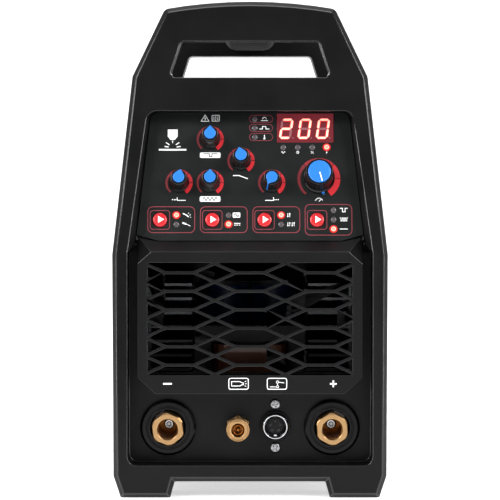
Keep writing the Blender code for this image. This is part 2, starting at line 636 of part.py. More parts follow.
def gas_outlet(finish):
    """The brass shielding-gas coupling, screwed into the valve behind the bezel's floor."""
    seat = SOCKET_FLOOR - GAP
    profile = [(4.6, 1.0), (7.2, 1.0), (8.1, 2.0), (8.1, 8.0), (6.6, 9.5), (6.6, 15.6), (8.4, 17.0)]
    profile += [(8.4, seat), (GAS_THREAD, seat), (GAS_THREAD, 35.0), (2.2, 35.0), (2.2, 12.0), (4.6, 12.0)]
    add("gas_outlet", lathe(profile, (GAS_X, SOCKET_Z), 16), finish)


def torch_screw_places():
    return [(TORCH_AT[0], TORCH_AT[1] + side * TORCH_SCREW_PITCH / 2) for side in (-1, 1)]


def torch_socket(metal_finish, black_finish):
    """The five-pin torch-switch socket: shell, collar, keyed insert with pins, and two screws."""
    inner = 6.3
    shell = [(8.3, 13.4), (TORCH_RADIUS, 14.0), (TORCH_RADIUS, 34.0)]
    shell += [(inner, 34.0), (inner, 15.4), (7.5, 13.4)]
    add("torch_socket_shell", lathe(shell, TORCH_AT, 18), metal_finish)
    seat, collar_inner = SOCKET_FLOOR - GAP, TORCH_RADIUS + GAP
    collar = [(collar_inner, 18.4), (10.4, 18.4), (10.7, 18.9), (10.7, seat), (collar_inner, seat)]
    add("torch_socket_collar", lathe(collar, TORCH_AT, 18), black_finish)
    insert = add("torch_socket_insert", rod(TORCH_AT, inner - GAP, 19.0, 33.0, 16), black_finish)
    cut(insert, prism(rectangle((TORCH_AT[0], TORCH_AT[1] - 5.8), (2.0, 2.4)), 15.0, LENGTH))
    pins = [lathe([(0.0, 15.6), (0.7, 16.2), (0.7, 20.0), (0.0, 20.0)], at, 6)
            for at in arc(TORCH_AT, 3.6, 90, 378, 4)]
    join(insert, *pins)
    screw = [(0.0, 19.6), (2.2, 19.8), (3.55, 21.0), (3.55, seat)]
    screw += [(SCREW_RADIUS, seat), (SCREW_RADIUS, 30.0), (0.0, 30.0)]
    for place, label in zip(torch_screw_places(), ("lower", "upper")):
        add(f"torch_socket_screw_{label}", lathe(screw, place, 12), metal_finish)


# ---------------------------------------------------------------- rear fittings

def fan_guard(finish):
    """A moulded finger guard: a disc with rings of curved slots between four ribs."""
    at, seat, face = (0.0, FAN_Z), REAR_FLOOR + GAP, REAR_FLOOR + 3.3
    disc = [(0.0, face), (58.2, face), (59.0, face - 0.8), (59.0, seat), (0.0, seat)]
    obj = add("fan_guard", lathe(disc, at, 28), finish)
    first, width, pitch, rings, half_rib = 12.0, 7.0, 10.0, 4, 2.2
    slots = []
    for ring in range(rings):
        inner = first + ring * pitch
        rib_deg = math.degrees(half_rib / (inner + width / 2))
        for quarter in range(4):
            start, end = 45 + 90 * quarter + rib_deg, 135 + 90 * quarter - rib_deg
            steps = 2 + ring
            outline = arc(at, inner + width, start, end, steps) + arc(at, inner, end, start, steps)
            slots.append(prism(outline, seat - OVER, face + OVER))
    cut(obj, *slots)


def fan(housing_finish, rotor_finish):
    """An axial fan: square housing with struts to the motor base, and a bladed rotor."""
    at = (0.0, FAN_Z)
    square = rectangle(at, (FAN_SIZE, FAN_SIZE), 6.0)
    obj = add("fan_housing", prism(square, FAN_FRONT, FAN_BACK), housing_finish)
    cut(obj, rod(at, FAN_BORE, FAN_FRONT - OVER, FAN_BACK + OVER, 32))
    join(obj, box((-55.0, FAN_FRONT + 0.4, FAN_Z - 2.5), (55.0, FAN_FRONT + 2.6, FAN_Z + 2.5)))
    join(obj, rod(at, 19.0, FAN_FRONT + 0.2, FAN_FRONT + 3.0, 16))
    front, back, blades = FAN_FRONT + 3.6, FAN_BACK - 1.5, 7
    hub = [(0.0, front), (17.0, front), (17.0, back - 1.5), (15.5, back), (0.0, back)]
    rotor = add("fan_rotor", lathe(hub), rotor_finish, None, (0.0, FRONT_Y, FAN_Z))
    middle, parts = (front + back) / 2, []
    for i in range(blades):
        loops = []
        for radius, half_deg, half_depth in ((15.5, 27.0, 7.4), (33.0, 28.0, 8.6), (50.5, 28.5, 9.4)):
            loop = []
            for side, shares in ((-1, (-1, -0.5, 0, 0.5, 1)), (1, (1, 0.5, 0, -0.5, -1))):
                for share in shares:
                    turn = math.radians(half_deg * share)
                    depth = middle + half_depth * share + 0.7 * side
                    loop.append((radius * math.cos(turn), depth, radius * math.sin(turn)))
            loops.append(loop)
        parts.append(placed(loft(loops), 360 * i / blades, "Y"))
    join(rotor, *parts)


def power_switch(body_finish, rocker_finish):
    """The mains switch: a framed body in the rear panel, and a rocker that tips about a level axis."""
    seat, inside = REAR_FLOOR + GAP, REAR_FLOOR - 24.0
    flange = prism(rectangle(SWITCH_AT, SWITCH_FLANGE, 1.5), seat, seat + 2.5)
    obj = add("switch_body", flange, body_finish)
    join(obj, prism(rectangle(SWITCH_AT, SWITCH_BODY), inside, seat + 1.0))
    cut(obj, prism(rectangle(SWITCH_AT, SWITCH_WELL), REAR_FLOOR - 9.0, LENGTH))
    side = [(-8.4, 6.0), (-8.8, 1.5), (-6.0, -3.0), (6.0, -3.0), (8.8, 1.5), (8.4, 6.0), (0.0, 4.4)]
    rocker = placed(loft([[(x, y, v) for v, y in side] for x in (-11.6, 11.6)]), 9, "X")
    hinge = (SWITCH_AT[0], FRONT_Y + REAR_FLOOR - 1.0, SWITCH_AT[1])
    add("switch_rocker", rocker, rocker_finish, None, hinge)


def cable_gland(finish):
    """The mains-lead gland, with its clear bore."""
    seat, end, bore = REAR_FLOOR + GAP, REAR_FLOOR - 16.0, 5.2
    profile = [(14.0, seat), (14.0, seat + 5.0), (12.6, seat + 5.4), (12.6, seat + 14.0)]
    profile += [(8.5, seat + 21.0), (bore, seat + 21.0), (bore, end)]
    profile += [(GLAND_BARREL, end), (GLAND_BARREL, seat)]
    add("cable_gland", lathe(profile, GLAND_AT, 16), finish)


def gas_inlet(finish):
    """The brass hose barb that takes the shielding gas in."""
    seat, end, bore = REAR_FLOOR + GAP, REAR_FLOOR - 16.0, 2.6
    profile = [(8.0, seat), (8.0, seat + 6.0), (4.6, seat + 7.0), (4.6, seat + 12.0)]
    profile += [(5.6, seat + 12.5), (4.6, seat + 17.0), (5.6, seat + 17.5), (4.2, seat + 25.0)]
    profile += [(bore, seat + 25.0), (bore, end), (INLET_BARREL, end), (INLET_BARREL, seat)]
    add("gas_inlet", lathe(profile, INLET_AT, 12), finish)


# ---------------------------------------------------------------- inside

def power_board(finish):
    """The power board on the tray's studs, with four smoothing capacitors soldered on."""
    top = POWER_BOARD_Z + BOARD_THICKNESS
    obj = add("power_board", box((-80.0, 70.0, POWER_BOARD_Z), (80.0, 350.0, top)), finish)
    radius, height, clear = 17.5, 105.0, 0.4
    reach = radius + clear
    places = [(x, depth) for x in (-reach, reach) for depth in (322.0 - 2 * reach, 322.0)]
    join(obj, *[upright(radius, top - 0.5, top + height, place, 16) for place in places])


def heatsinks(finish):
    """Two finned extrusions along the air path, with their fins inwards."""
    fins, half_fin, pitch, base_z = 11, 1.1, 10.5, 26.0
    root, wall, tip = 73.0, 78.0, 43.0
    outline = [(wall, base_z + fins * pitch), (wall, base_z), (root, base_z)]
    for i in range(fins):
        z = base_z + (i + 0.5) * pitch
        outline += [(root, z - half_fin), (tip, z - half_fin)]
        outline += [(tip, z + half_fin), (root, z + half_fin)]
    outline.append((root, base_z + fins * pitch))
    for side, label in ((-1, "left"), (1, "right")):
        add(f"heatsink_{label}", prism([(side * x, z) for x, z in outline], 175.0, 335.0), finish)


def transformer(core_finish, winding_finish):
    """The main transformer: a ferrite core with two windows, and the coil wound through them."""
    base, top, middle, half = POWER_BOARD_Z + BOARD_THICKNESS + GAP, 110.0, 134.0, 16.0
    centre_z = (base + top) / 2
    block = box((-40.0, middle - half, base), (40.0, middle + half, top))
    core = add("transformer_core", block, core_finish)
    windows = [rectangle((side * 19.0, centre_z), (17.0, 60.0)) for side in (-1, 1)]
    cut(core, *[prism(window, 0.0, LENGTH) for window in windows])
    ring = rectangle((0.0, middle), (53.0, 58.0), 8.0)
    coil = loft([[(x, y, z) for x, y in ring] for z in (centre_z - 29.0, centre_z + 29.0)])
    winding = add("transformer_winding", coil, winding_finish)
    cut(winding, box((-11.0, middle - 17.0, 0.0), (11.0, middle + 17.0, TOP_Z)))


def starting_coil(finish):
    """The ring-shaped arc-starting coil, upright on the power board."""
    ring_radius, wound_radius, depth = 22.0, 9.0, 195.0
    section = [(ring_radius + r, depth + y) for r, y in circle((0.0, 0.0), wound_radius, 6)]
    centre_z = POWER_BOARD_Z + BOARD_THICKNESS + GAP + ring_radius + wound_radius
    add("starting_coil", lathe(section, (0.0, centre_z), 16), finish)


def gas_valve(finish):
    """The solenoid valve on the back of the gas outlet: a block with an upright coil."""
    front, back = SOCKET_FLOOR + SKIN + GAP, 60.0
    obj = add("gas_valve", box((GAS_X - 12.0, front, 36.0), (GAS_X + 12.0, back, 57.0)), finish)
    join(obj, upright(10.0, 56.0, 82.0, (GAS_X, 47.0), 16))
    cut(obj, rod((GAS_X, SOCKET_Z), GAS_THREAD + GAP, front - OVER, 36.0, 16))


def gas_hose(finish):
    """The hose from the rear inlet, along the tray's edge, to the valve behind the outlet."""
    along_z, along_x = 30.8, 83.4
    route = [(INLET_AT[0], 373.6, INLET_AT[1]), (65.0, 366.0, 35.5)]
    route += [(72.0, 358.0, 33.0), (80.5, 350.0, along_z)]
    route += [(along_x, y, along_z) for y in (338.0, 300.0, 250.0, 200.0, 165.0, 130.0)]
    route += [(80.0, 106.0, along_z), (66.0, 90.0, along_z), (42.0, 84.0, 31.5), (16.0, 82.0, 36.0)]
    route += [(-2.0, 77.0, 43.0), (GAS_X, 69.0, SOCKET_Z), (GAS_X, 60.4, SOCKET_Z)]
    curve = bpy.data.curves.new("gas_hose", "CURVE")
    curve.dimensions = "3D"
    curve.bevel_depth = 3.0 * MM
    curve.bevel_resolution = 2
    curve.use_fill_caps = True
    curve.materials.append(finish)
    run = smooth_run(route, 2)
    spline = curve.splines.new("POLY")
    spline.points.add(len(run) - 1)
    for point, place in zip(spline.points, run):
        point.co = (*(place * MM), 1.0)
    obj = bpy.data.objects.new("gas_hose", curve)
    obj.location = (0.0, FRONT_Y * MM, 0.0)
    bpy.context.scene.collection.objects.link(obj)


def smooth_run(route, steps):
    """Points on a smooth curve through the route's own points."""
    knots = [Vector(p) for p in route]
    knots = [knots[0] * 2 - knots[1], *knots, knots[-1] * 2 - knots[-2]]
    found = []
    for a, b, c, d in zip(knots, knots[1:], knots[2:], knots[3:]):
        for t in (step / steps for step in range(steps)):
            bend = (2 * a - 5 * b + 4 * c - d) * t**2 + (3 * b - a - 3 * c + d) * t**3
            found.append((2 * b + (c - a) * t + bend) / 2)
    return [*found, knots[-2]]


# ---------------------------------------------------------------- the whole machine

def build():
    for obj in list(bpy.data.objects):
        bpy.data.objects.remove(obj)
    plastic = material("case_plastic", (0.012, 0.012, 0.013), 0.42)
    steel = material("painted_steel", (0.014, 0.014, 0.015), 0.5)
    black = material("socket_plastic", (0.01, 0.01, 0.011), 0.3)
    foil = material("panel_foil", (0.02, 0.02, 0.021), 0.35)
    rubber = material("grip_rubber", (0.015, 0.015, 0.015), 0.75)
    blue = material("blue_plastic", (0.03, 0.28, 0.85), 0.35)
    red = material("red_plastic", (0.75, 0.02, 0.03), 0.3)
    lens = material("smoked_lens", (0.25, 0.01, 0.02), 0.15)
    brass = material("brass", (0.78, 0.55, 0.24), 0.25, 1.0)
    nickel = material("nickel", (0.75, 0.75, 0.74), 0.2, 1.0)
    aluminium = material("aluminium", (0.6, 0.61, 0.62), 0.4, 1.0)
    copper = material("copper", (0.72, 0.35, 0.2), 0.3, 1.0)
    board = material("board", (0.02, 0.12, 0.05), 0.5)
    winding = material("winding", (0.5, 0.16, 0.04), 0.4)
    hose = material("hose", (0.03, 0.05, 0.25), 0.5)

    front_bezel(plastic)
    rear_bezel(plastic)
    cover(steel)
    base_tray(steel)
    cover_screws(nickel)
    handle(nickel, rubber)
    front_grille(plastic)

    frame = bpy.data.objects.new("panel_frame", None)
    bpy.context.scene.collection.objects.link(frame)
    frame.location = Vector((0.0, FRONT_Y + PANEL_RECESS + lean_at(PANEL_Z), PANEL_Z)) * MM
    frame.rotation_euler = (-math.radians(LEAN_DEG), 0.0, 0.0)
    control_panel(foil, frame)
    small_knobs(black, blue, frame)
    current_knob(black, blue, frame)
    buttons(red, frame)
    display(lens, black, frame)
    control_board(board, frame)

    for side, label in ((-1, "minus"), (1, "plus")):
        output_socket(side, label, black, brass)
        output_bar(side, label, copper, nickel)
    gas_outlet(brass)
    torch_socket(nickel, black)

    fan_guard(plastic)
    fan(black, black)
    power_switch(black, red)
    cable_gland(black)
    gas_inlet(brass)

    power_board(board)
    heatsinks(aluminium)
    transformer(black, winding)
    starting_coil(winding)
    gas_valve(brass)
    gas_hose(hose)


build()
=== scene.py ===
"""The looks of an inverter TIG welding machine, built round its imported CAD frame.

Shapes are drawn in millimetres in a flat local frame: X right, Y up and Z out of the face that they sit on.
place_on() and facing() put that frame on the case, and piece() scales the finished mesh to metres.
"""

import json
from math import cos, degrees, pi, radians, sin, tan

import bmesh
import bpy
from mathutils import Matrix, Vector


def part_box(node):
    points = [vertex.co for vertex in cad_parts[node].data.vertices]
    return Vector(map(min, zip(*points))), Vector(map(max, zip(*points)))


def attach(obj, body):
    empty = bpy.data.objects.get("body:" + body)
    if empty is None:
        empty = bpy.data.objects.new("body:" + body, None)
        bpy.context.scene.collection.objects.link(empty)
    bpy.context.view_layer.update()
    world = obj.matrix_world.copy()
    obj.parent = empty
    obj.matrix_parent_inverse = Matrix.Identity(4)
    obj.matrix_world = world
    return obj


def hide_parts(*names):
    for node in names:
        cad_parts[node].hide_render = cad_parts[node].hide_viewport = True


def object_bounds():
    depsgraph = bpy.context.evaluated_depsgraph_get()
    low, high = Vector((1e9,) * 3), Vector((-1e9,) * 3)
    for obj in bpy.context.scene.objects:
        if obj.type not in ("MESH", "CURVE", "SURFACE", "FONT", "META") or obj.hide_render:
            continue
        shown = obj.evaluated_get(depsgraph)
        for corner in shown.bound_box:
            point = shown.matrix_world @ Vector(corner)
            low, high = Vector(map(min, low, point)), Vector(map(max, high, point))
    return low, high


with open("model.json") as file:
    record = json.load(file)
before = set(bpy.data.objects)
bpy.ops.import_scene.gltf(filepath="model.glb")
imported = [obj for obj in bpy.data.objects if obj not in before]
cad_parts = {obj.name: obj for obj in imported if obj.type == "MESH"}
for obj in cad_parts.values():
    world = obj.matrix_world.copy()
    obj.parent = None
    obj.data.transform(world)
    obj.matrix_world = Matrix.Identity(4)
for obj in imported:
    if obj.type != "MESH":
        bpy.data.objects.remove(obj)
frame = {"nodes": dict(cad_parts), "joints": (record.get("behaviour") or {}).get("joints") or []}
CAD_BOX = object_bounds()
NODES = frame["nodes"]
JOINTS = {joint["name"]: joint for joint in frame["joints"]}

MM = 0.001
PRINT = 0.08
FRONT_Y, REAR_Y = CAD_BOX[0].y / MM, CAD_BOX[1].y / MM


# ---- places

def shift(x, y, z=0.0):
    """A move, in millimetres."""
    return Matrix.Translation(Vector((x, y, z)) * MM)


def spin(angle_deg, axis="Z"):
    return Matrix.Rotation(radians(angle_deg), 4, axis)


def place_on(origin, out, up):
    """A frame whose Z points out of a face and whose Y points up it; the origin is in millimetres."""
    out, up = Vector(out).normalized(), Vector(up).normalized()
    across = up.cross(out)
    turn = Matrix((across, up, out)).transposed().to_4x4()
    return shift(*origin) @ turn


def extent(node, place):
    """The lowest and highest corners of a CAD node in a local frame, in millimetres."""
    inverse = place.inverted()
    points = [inverse @ vert.co / MM for vert in NODES[node].data.vertices]
    return Vector([min(axis) for axis in zip(*points)]), Vector([max(axis) for axis in zip(*points)])


def middle(node, place):
    low, high = extent(node, place)
    return (low + high) / 2


def facing(node, place, angle_deg=0.0):
    """The local frame moved to a node's middle, without leaving its plane, and turned in it."""
    centre = middle(node, place)
    return place @ shift(centre.x, centre.y) @ spin(angle_deg)


def joint_at(joint, place):
    """Where a joint lies in a local frame, in millimetres."""
    return place.inverted() @ Vector(JOINTS[joint]["pos_m"]) / MM


FRONT = place_on((0.0, FRONT_Y, 0.0), (0.0, -1.0, 0.0), (0.0, 0.0, 1.0))
REAR = place_on((0.0, REAR_Y, 0.0), (0.0, 1.0, 0.0), (0.0, 0.0, 1.0))
PRESS = Vector(JOINTS["process_press"]["axis"])
SLOPE_UP = Vector((1.0, 0.0, 0.0)).cross(PRESS)
_tilt = place_on((0.0, 0.0, 0.0), -PRESS, SLOPE_UP)
_low, _high = extent("control_panel", _tilt)
PANEL = _tilt @ shift(0.0, _low.y, _high.z)
SOCKET_FLOOR = extent("torch_socket_collar", FRONT)[0].z
REAR_FLOOR = extent("fan_guard", REAR)[0].z


# ---- outlines

def arc(centre, radius, start_deg, end_deg, steps):
    angles = [radians(start_deg + (end_deg - start_deg) * i / steps) for i in range(steps + 1)]
    return [(centre[0] + radius * cos(a), centre[1] + radius * sin(a)) for a in angles]


def circle(centre, radius, segments=32):
    return arc(centre, radius, 0, 360, segments)[:-1]


def rounded_box(centre, size, radius, steps=5):
    (x, y), (half_x, half_y) = centre, (size[0] / 2 - radius, size[1] / 2 - radius)
    found = []
    for i, (sx, sy) in enumerate(((1, 1), (-1, 1), (-1, -1), (1, -1))):
        found += arc((x + sx * half_x, y + sy * half_y), radius, 90 * i, 90 * i + 90, steps)
    return found


def shifted(points, centre, lean=0.0):
    """Points leaned to the right and moved."""
    return [(centre[0] + x + y * lean, centre[1] + y) for x, y in points]


def lifted(profile, height):
    """A profile's points, with their heights measured from another height."""
    return [(radius, height + rise, *depth) for radius, rise, *depth in profile]


# ---- meshes

def skin(loops, closed=False):
    """A body through loops of equal length; when closed, the last loop joins the first, without ends."""
    bm = bmesh.new()
    rings = [[bm.verts.new(p) for p in loop] for loop in loops]
    if not closed:
        bm.faces.new(rings[0])
        bm.faces.new(rings[-1])
    for near, far in zip(rings, rings[1:] + rings[:1] if closed else rings[1:]):
        for i in range(len(near)):
            bm.faces.new((near[i - 1], near[i], far[i], far[i - 1]))
    bmesh.ops.recalc_face_normals(bm, faces=bm.faces)
    return bm


def plate(outline, low, high):
    """A flat outline drawn out along Z."""
    return skin([[(x, y, z) for x, y in outline] for z in (low, high)])


def ribbon(left, right, low, high, closed=False):
    """A flat band between two lines of equal length."""
    return skin([[(*a, low), (*b, low), (*b, high), (*a, high)] for a, b in zip(left, right)], closed)


def stroke(path, width, low=0.0, high=PRINT, closed=False):
    """A line of even width along a path."""
    sides = ([], [])
    count = len(path)
    for i, here in enumerate(path):
        here = Vector(here)
        before = Vector(path[i - 1]) if closed or i else None
        after = Vector(path[(i + 1) % count]) if closed or i < count - 1 else None
        into = (here - before).normalized() if before is not None else (after - here).normalized()
        out = (after - here).normalized() if after is not None else into
        normal = Vector((-into.y, into.x))
        bisector = (normal + Vector((-out.y, out.x))).normalized()
        reach = min(width / 2 / max(bisector.dot(normal), 0.1), width)
        sides[0].append(tuple(here + bisector * reach))
        sides[1].append(tuple(here - bisector * reach))
    return ribbon(*sides, low, high, closed)


def turned(profile, segments=64, flutes=0, closed=False):
    """A body turned about Z from (radius, height, flute depth) points; one on the axis closes an end."""
    bm = bmesh.new()
    rings = []
    for radius, height, *depth in profile:
        ring = []
        for i in range(segments if radius else 1):
            angle = 2 * pi * i / segments
            wave = (1 - cos(flutes * angle)) / 2 if depth and flutes else 0.0
            reach = radius - (depth[0] * wave if depth else 0.0)
            ring.append(bm.verts.new((reach * cos(angle), reach * sin(angle), height)))
        rings.append(ring)
    for near, far in zip(rings, rings[1:] + rings[:1] if closed else rings[1:]):
        for i in range(segments):
            corners = [ring[j % len(ring)] for ring, j in ((near, i), (near, i + 1), (far, i + 1), (far, i))]
            bm.faces.new(dict.fromkeys(corners))
    bmesh.ops.recalc_face_normals(bm, faces=bm.faces)
    return bm


def moved(bm, at=(0.0, 0.0, 0.0), turn_deg=0.0, axis="Z"):
    bm.transform(Matrix.Translation(at) @ spin(turn_deg, axis))
    return bm


def together(meshes):
    whole = bmesh.new()
    for bm in meshes:
        part = bpy.data.meshes.new("part")
        bm.to_mesh(part)
        bm.free()
        whole.from_mesh(part)
        bpy.data.meshes.remove(part)
    return whole


def linked(name, data):
    """A new object of the scene."""
    obj = bpy.data.objects.new(name, data)
    bpy.context.scene.collection.objects.link(obj)
    return obj


def new_object(name, bm):
    data = bpy.data.meshes.new(name)
    bm.to_mesh(data)
    bm.free()
    return linked(name, data)


def carved(bm, cutter):
    """A mesh with another cut out of it."""
    body, tool = new_object("body", bm), new_object("tool", cutter)
    modifier = body.modifiers.new("cut", "BOOLEAN")
    modifier.operation, modifier.solver, modifier.object = "DIFFERENCE", "EXACT", tool
    found = bmesh.new()
    found.from_object(body, bpy.context.evaluated_depsgraph_get())
    for obj in (body, tool):
        data = obj.data
        bpy.data.objects.remove(obj)
        bpy.data.meshes.remove(data)
    return found


# ---- finishes

def linear(text):
    """A web colour in the linear values that a shader takes."""
    found = []
    for i in (0, 2, 4):
        value = int(text[i:i + 2], 16) / 255
        found.append(value / 12.92 if value <= 0.04045 else ((value + 0.055) / 1.055) ** 2.4)
    return tuple(found)


CLOUD_GRAINS, GLOSS_VARY = 40, 0.12  # clouds against the grain, and how far they change the gloss


def finish(name, colour, roughness, metallic=0.0, vary=0.12, grain=0.7, depth=0.02, stretch=(1.0, 1.0, 1.0),
           specular=0.5, coat=0.0, glow=("000000", 0.0)):
    """A finish with clouded colour and gloss and a fine grain; grain and depth are in millimetres."""
    made = bpy.data.materials.new(name)
    made.use_nodes = True
    nodes, links = made.node_tree.nodes, made.node_tree.links
    shader = nodes["Principled BSDF"]
    shader.inputs["Metallic"].default_value = metallic
    shader.inputs["Specular IOR Level"].default_value = specular
    shader.inputs["Coat Weight"].default_value = coat
    if glow[1]:
        shader.inputs["Emission Color"].default_value = (*linear(glow[0]), 1.0)
        shader.inputs["Emission Strength"].default_value = glow[1]

    place = nodes.new("ShaderNodeTexCoord")
    scaled = nodes.new("ShaderNodeMapping")
    scaled.inputs["Scale"].default_value = stretch
    links.new(place.outputs["Object"], scaled.inputs["Vector"])

    def noise(size, detail):
        node = nodes.new("ShaderNodeTexNoise")
        node.inputs["Scale"].default_value = 1 / (size * MM)
        node.inputs["Detail"].default_value = detail
        links.new(scaled.outputs["Vector"], node.inputs["Vector"])
        return node.outputs["Fac"]

    def spread(value, low, high):
        node = nodes.new("ShaderNodeMapRange")
        node.inputs["From Min"].default_value, node.inputs["From Max"].default_value = 0.3, 0.7
        node.inputs["To Min"].default_value, node.inputs["To Max"].default_value = low, high
        links.new(value, node.inputs["Value"])
        return node.outputs["Result"]

    cloud, fine = noise(CLOUD_GRAINS * grain, 3.0), noise(grain, 2.0)
    tint = nodes.new("ShaderNodeMix")
    tint.data_type = "RGBA"
    rgb = linear(colour)
    tint.inputs["A"].default_value = (*[c * (1 - vary) for c in rgb], 1.0)
    tint.inputs["B"].default_value = (*[min(1.0, c * (1 + vary)) for c in rgb], 1.0)
    links.new(spread(cloud, 0.0, 1.0), tint.inputs["Factor"])
    links.new(tint.outputs["Result"], shader.inputs["Base Color"])
    rough = spread(cloud, roughness * (1 - GLOSS_VARY), min(1.0, roughness * (1 + GLOSS_VARY)))
    links.new(rough, shader.inputs["Roughness"])
    bump = nodes.new("ShaderNodeBump")
    bump.inputs["Distance"].default_value = depth * MM
    links.new(fine, bump.inputs["Height"])
    links.new(bump.outputs["Normal"], shader.inputs["Normal"])
    return made


CASE = finish("case_plastic", "0b0b0c", 0.38, grain=0.8, depth=0.025, specular=0.12)
# A lighter, glossier copy of the case plastic for the rounded edges: a painted highlight along them.
CASE_EDGE_HIGHLIGHT = finish("case_edge_painted_highlight", "0e0e10", 0.2, grain=0.8, depth=0.004, specular=0.38)
STEEL = finish("powder_coat", "0c0c0d", 0.42, grain=1.8, depth=0.05, specular=0.25)
FOIL = finish("panel_foil", "151717", 0.36, grain=0.5, depth=0.012, specular=0.25)
RUBBER = finish("grip_rubber", "0b0b0b", 0.78, grain=0.9, depth=0.05)
BLACK = finish("socket_plastic", "060607", 0.2, grain=1.2, depth=0.006, specular=0.12)
KNOB = finish("knob_plastic", "050506", 0.3, grain=0.6, depth=0.01, specular=0.3)
BLUE = finish("cap_blue", "1868bc", 0.38, grain=0.5, depth=0.006, vary=0.05, coat=0.2)
RED = finish("button_red", "bc1a22", 0.36, grain=0.5, depth=0.006, vary=0.05, coat=0.2)
BRASS = finish("brass", "9a7a54", 0.3, 1.0, grain=0.25, depth=0.006, stretch=(1.0, 1.0, 6.0))
BORE = finish("brass_bore", "8a5424", 0.34, 1.0, grain=0.25, depth=0.01)
CHROME = finish("chrome", "a9a9ac", 0.16, 1.0, vary=0.05, grain=0.3, depth=0.002)
NICKEL = finish("plated_steel", "a2a2a2", 0.25, 1.0, grain=0.3, depth=0.006)
ALUMINIUM = finish("aluminium", "77797b", 0.42, 1.0, grain=0.4, depth=0.01, stretch=(6.0, 0.2, 6.0))
COPPER = finish("copper", "c07a4c", 0.3, 1.0, grain=0.4, depth=0.01)
BOARD = finish("circuit_board", "17401f", 0.4, grain=0.9, depth=0.02)
FERRITE = finish("ferrite", "1e1d1c", 0.6, grain=0.6, depth=0.03)
HOSE = finish("hose_rubber", "162a5c", 0.45, grain=0.8, depth=0.02)
WHITE_PRINT = finish("print_white", "e9e9ea", 0.5, vary=0.04, grain=0.3, depth=0.004)
DARK_PRINT = finish("print_dark", "202222", 0.45, grain=0.3, depth=0.004)
THIN_PRINT = finish("print_thin_red", "7a2c36", 0.45, vary=0.1, grain=0.3, depth=0.004)
LAMP_OFF = finish("lamp_off", "494145", 0.3, vary=0.06, grain=0.5, depth=0.01, coat=0.4)
LAMP_LIT = finish("lamp_lit", "ff9a8c", 0.3, vary=0.04, grain=0.5, depth=0.01, glow=("ff7a68", 1.6))
LAMP_CORE = finish("lamp_core", "e0483c", 0.3, vary=0.04, grain=0.5, depth=0.01, glow=("ff5a48", 0.8))
SCREW = finish("screw_zinc", "8f8f92", 0.3, 1.0, grain=0.3, depth=0.004)
LAMP_GLOW = finish("lamp_glow", "8a0c0c", 0.4, vary=0.1, grain=0.3, depth=0.002, glow=("e01810", 0.75))
WINDOW = finish("display_lens", "4a0c12", 0.18, vary=0.2, grain=0.35, depth=0.002, coat=0.3,
                glow=("84303a", 0.5))
DIGIT_GLOW = finish("digit_glow", "c01818", 0.4, vary=0.05, grain=0.3, depth=0.002, glow=("e81c18", 0.8))
DIGITS = finish("display_digits", "ffc0b0", 0.4, vary=0.02, grain=0.5, depth=0.002, glow=("ffa890", 0.75))
# The unlit bars and decimal points: their own dim pink tint with a faint painted glow on it.
UNLIT_PAINTED_GLOW = finish("display_dark_bars", "7a4a50", 0.3, vary=0.06, grain=0.5, depth=0.002, glow=("8a5058", 0.4))
RING_STEPS = [finish(f"print_scale_{i + 1}", colour, 0.42, vary=0.06, grain=0.3, depth=0.004)
              for i, colour in enumerate(("6e1a22", "8a1c25", "a41c26", "b61d27", "c21d27"))]
ROCKER = finish("rocker_red", "c41f28", 0.28, vary=0.05, grain=0.5, depth=0.006, coat=0.3)
PIN = finish("pin_metal", "3c3c3e", 0.35, 1.0, grain=0.3, depth=0.004)
SLEEVE = finish("capacitor_sleeve", "1d3f74", 0.35, vary=0.06, grain=0.8, depth=0.006)
WINDING = finish("winding", "5e3018", 0.36, 0.3, grain=0.5, depth=0.01, coat=0.3)


# ---- pieces

SHARP_DEG, FLAT_DEG = 28, 0.7


def soften(obj, width, segments=2, edge_index=0):
    """Rounds an object's sharp edges, so that they catch the light; the rounding takes the material at
    edge_index, which on the case is a painted highlight.
    """
    bevel = obj.modifiers.new("rounded", "BEVEL")
    bevel.width, bevel.segments = width * MM, segments
    bevel.limit_method, bevel.angle_limit = "ANGLE", radians(SHARP_DEG)
    bevel.use_clamp_overlap = False
    bevel.harden_normals = True
    bevel.material = edge_index
    obj.modifiers.new("normals", "WEIGHTED_NORMAL").keep_sharp = True


def dress(node, *materials, width=0.0, segments=2, weld=0.02):
    """Gives a CAD node its finish and, where it shows, soft edges."""
    obj = NODES[node]
    obj.data.materials.clear()
    for made in materials:
        obj.data.materials.append(made)
    if width:
        obj.modifiers.new("welded", "WELD").merge_threshold = weld * MM
        flat = obj.modifiers.new("flat", "DECIMATE")
        flat.decimate_type, flat.angle_limit = "DISSOLVE", radians(FLAT_DEG)
        obj.data.polygons.foreach_set("use_smooth", [True] * len(obj.data.polygons))
        soften(obj, width, segments, len(materials) - 1)


def piece(name, bm, material, place=FRONT, body="machine", nodes=(), width=0.0, sharp_deg=35):
    """A finished mesh on a body, in its local frame."""
    bm.transform(Matrix.Scale(MM, 4))
    obj = new_object(name, bm)
    obj.data.materials.append(material)
    obj.data.shade_smooth()
    obj.data.set_sharp_from_angle(angle=radians(sharp_deg))
    obj.matrix_world = place
    if width:
        soften(obj, width)
    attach(obj, body)
    if nodes:
        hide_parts(*nodes)
    return obj


def case():
    """The mouldings and the folded sheet of the case."""
    # The rounded edges of the bezels and the grille take the lighter copy of the case plastic, a painted
    # highlight.
    dress("front_bezel", CASE, CASE_EDGE_HIGHLIGHT, width=0.7, segments=3, weld=0.2)
    dress("rear_bezel", CASE, CASE_EDGE_HIGHLIGHT, width=0.9, segments=3, weld=0.2)
    dress("front_grille", CASE, CASE_EDGE_HIGHLIGHT, width=0.3)
    dress("cover", STEEL, width=0.3)
    dress("base_tray", STEEL, width=0.3, weld=0.2)
    dress("handle_bar", NICKEL)
    dress("handle_grip", RUBBER, width=0.6)
    dress("control_panel", FOIL)


# ---- controls

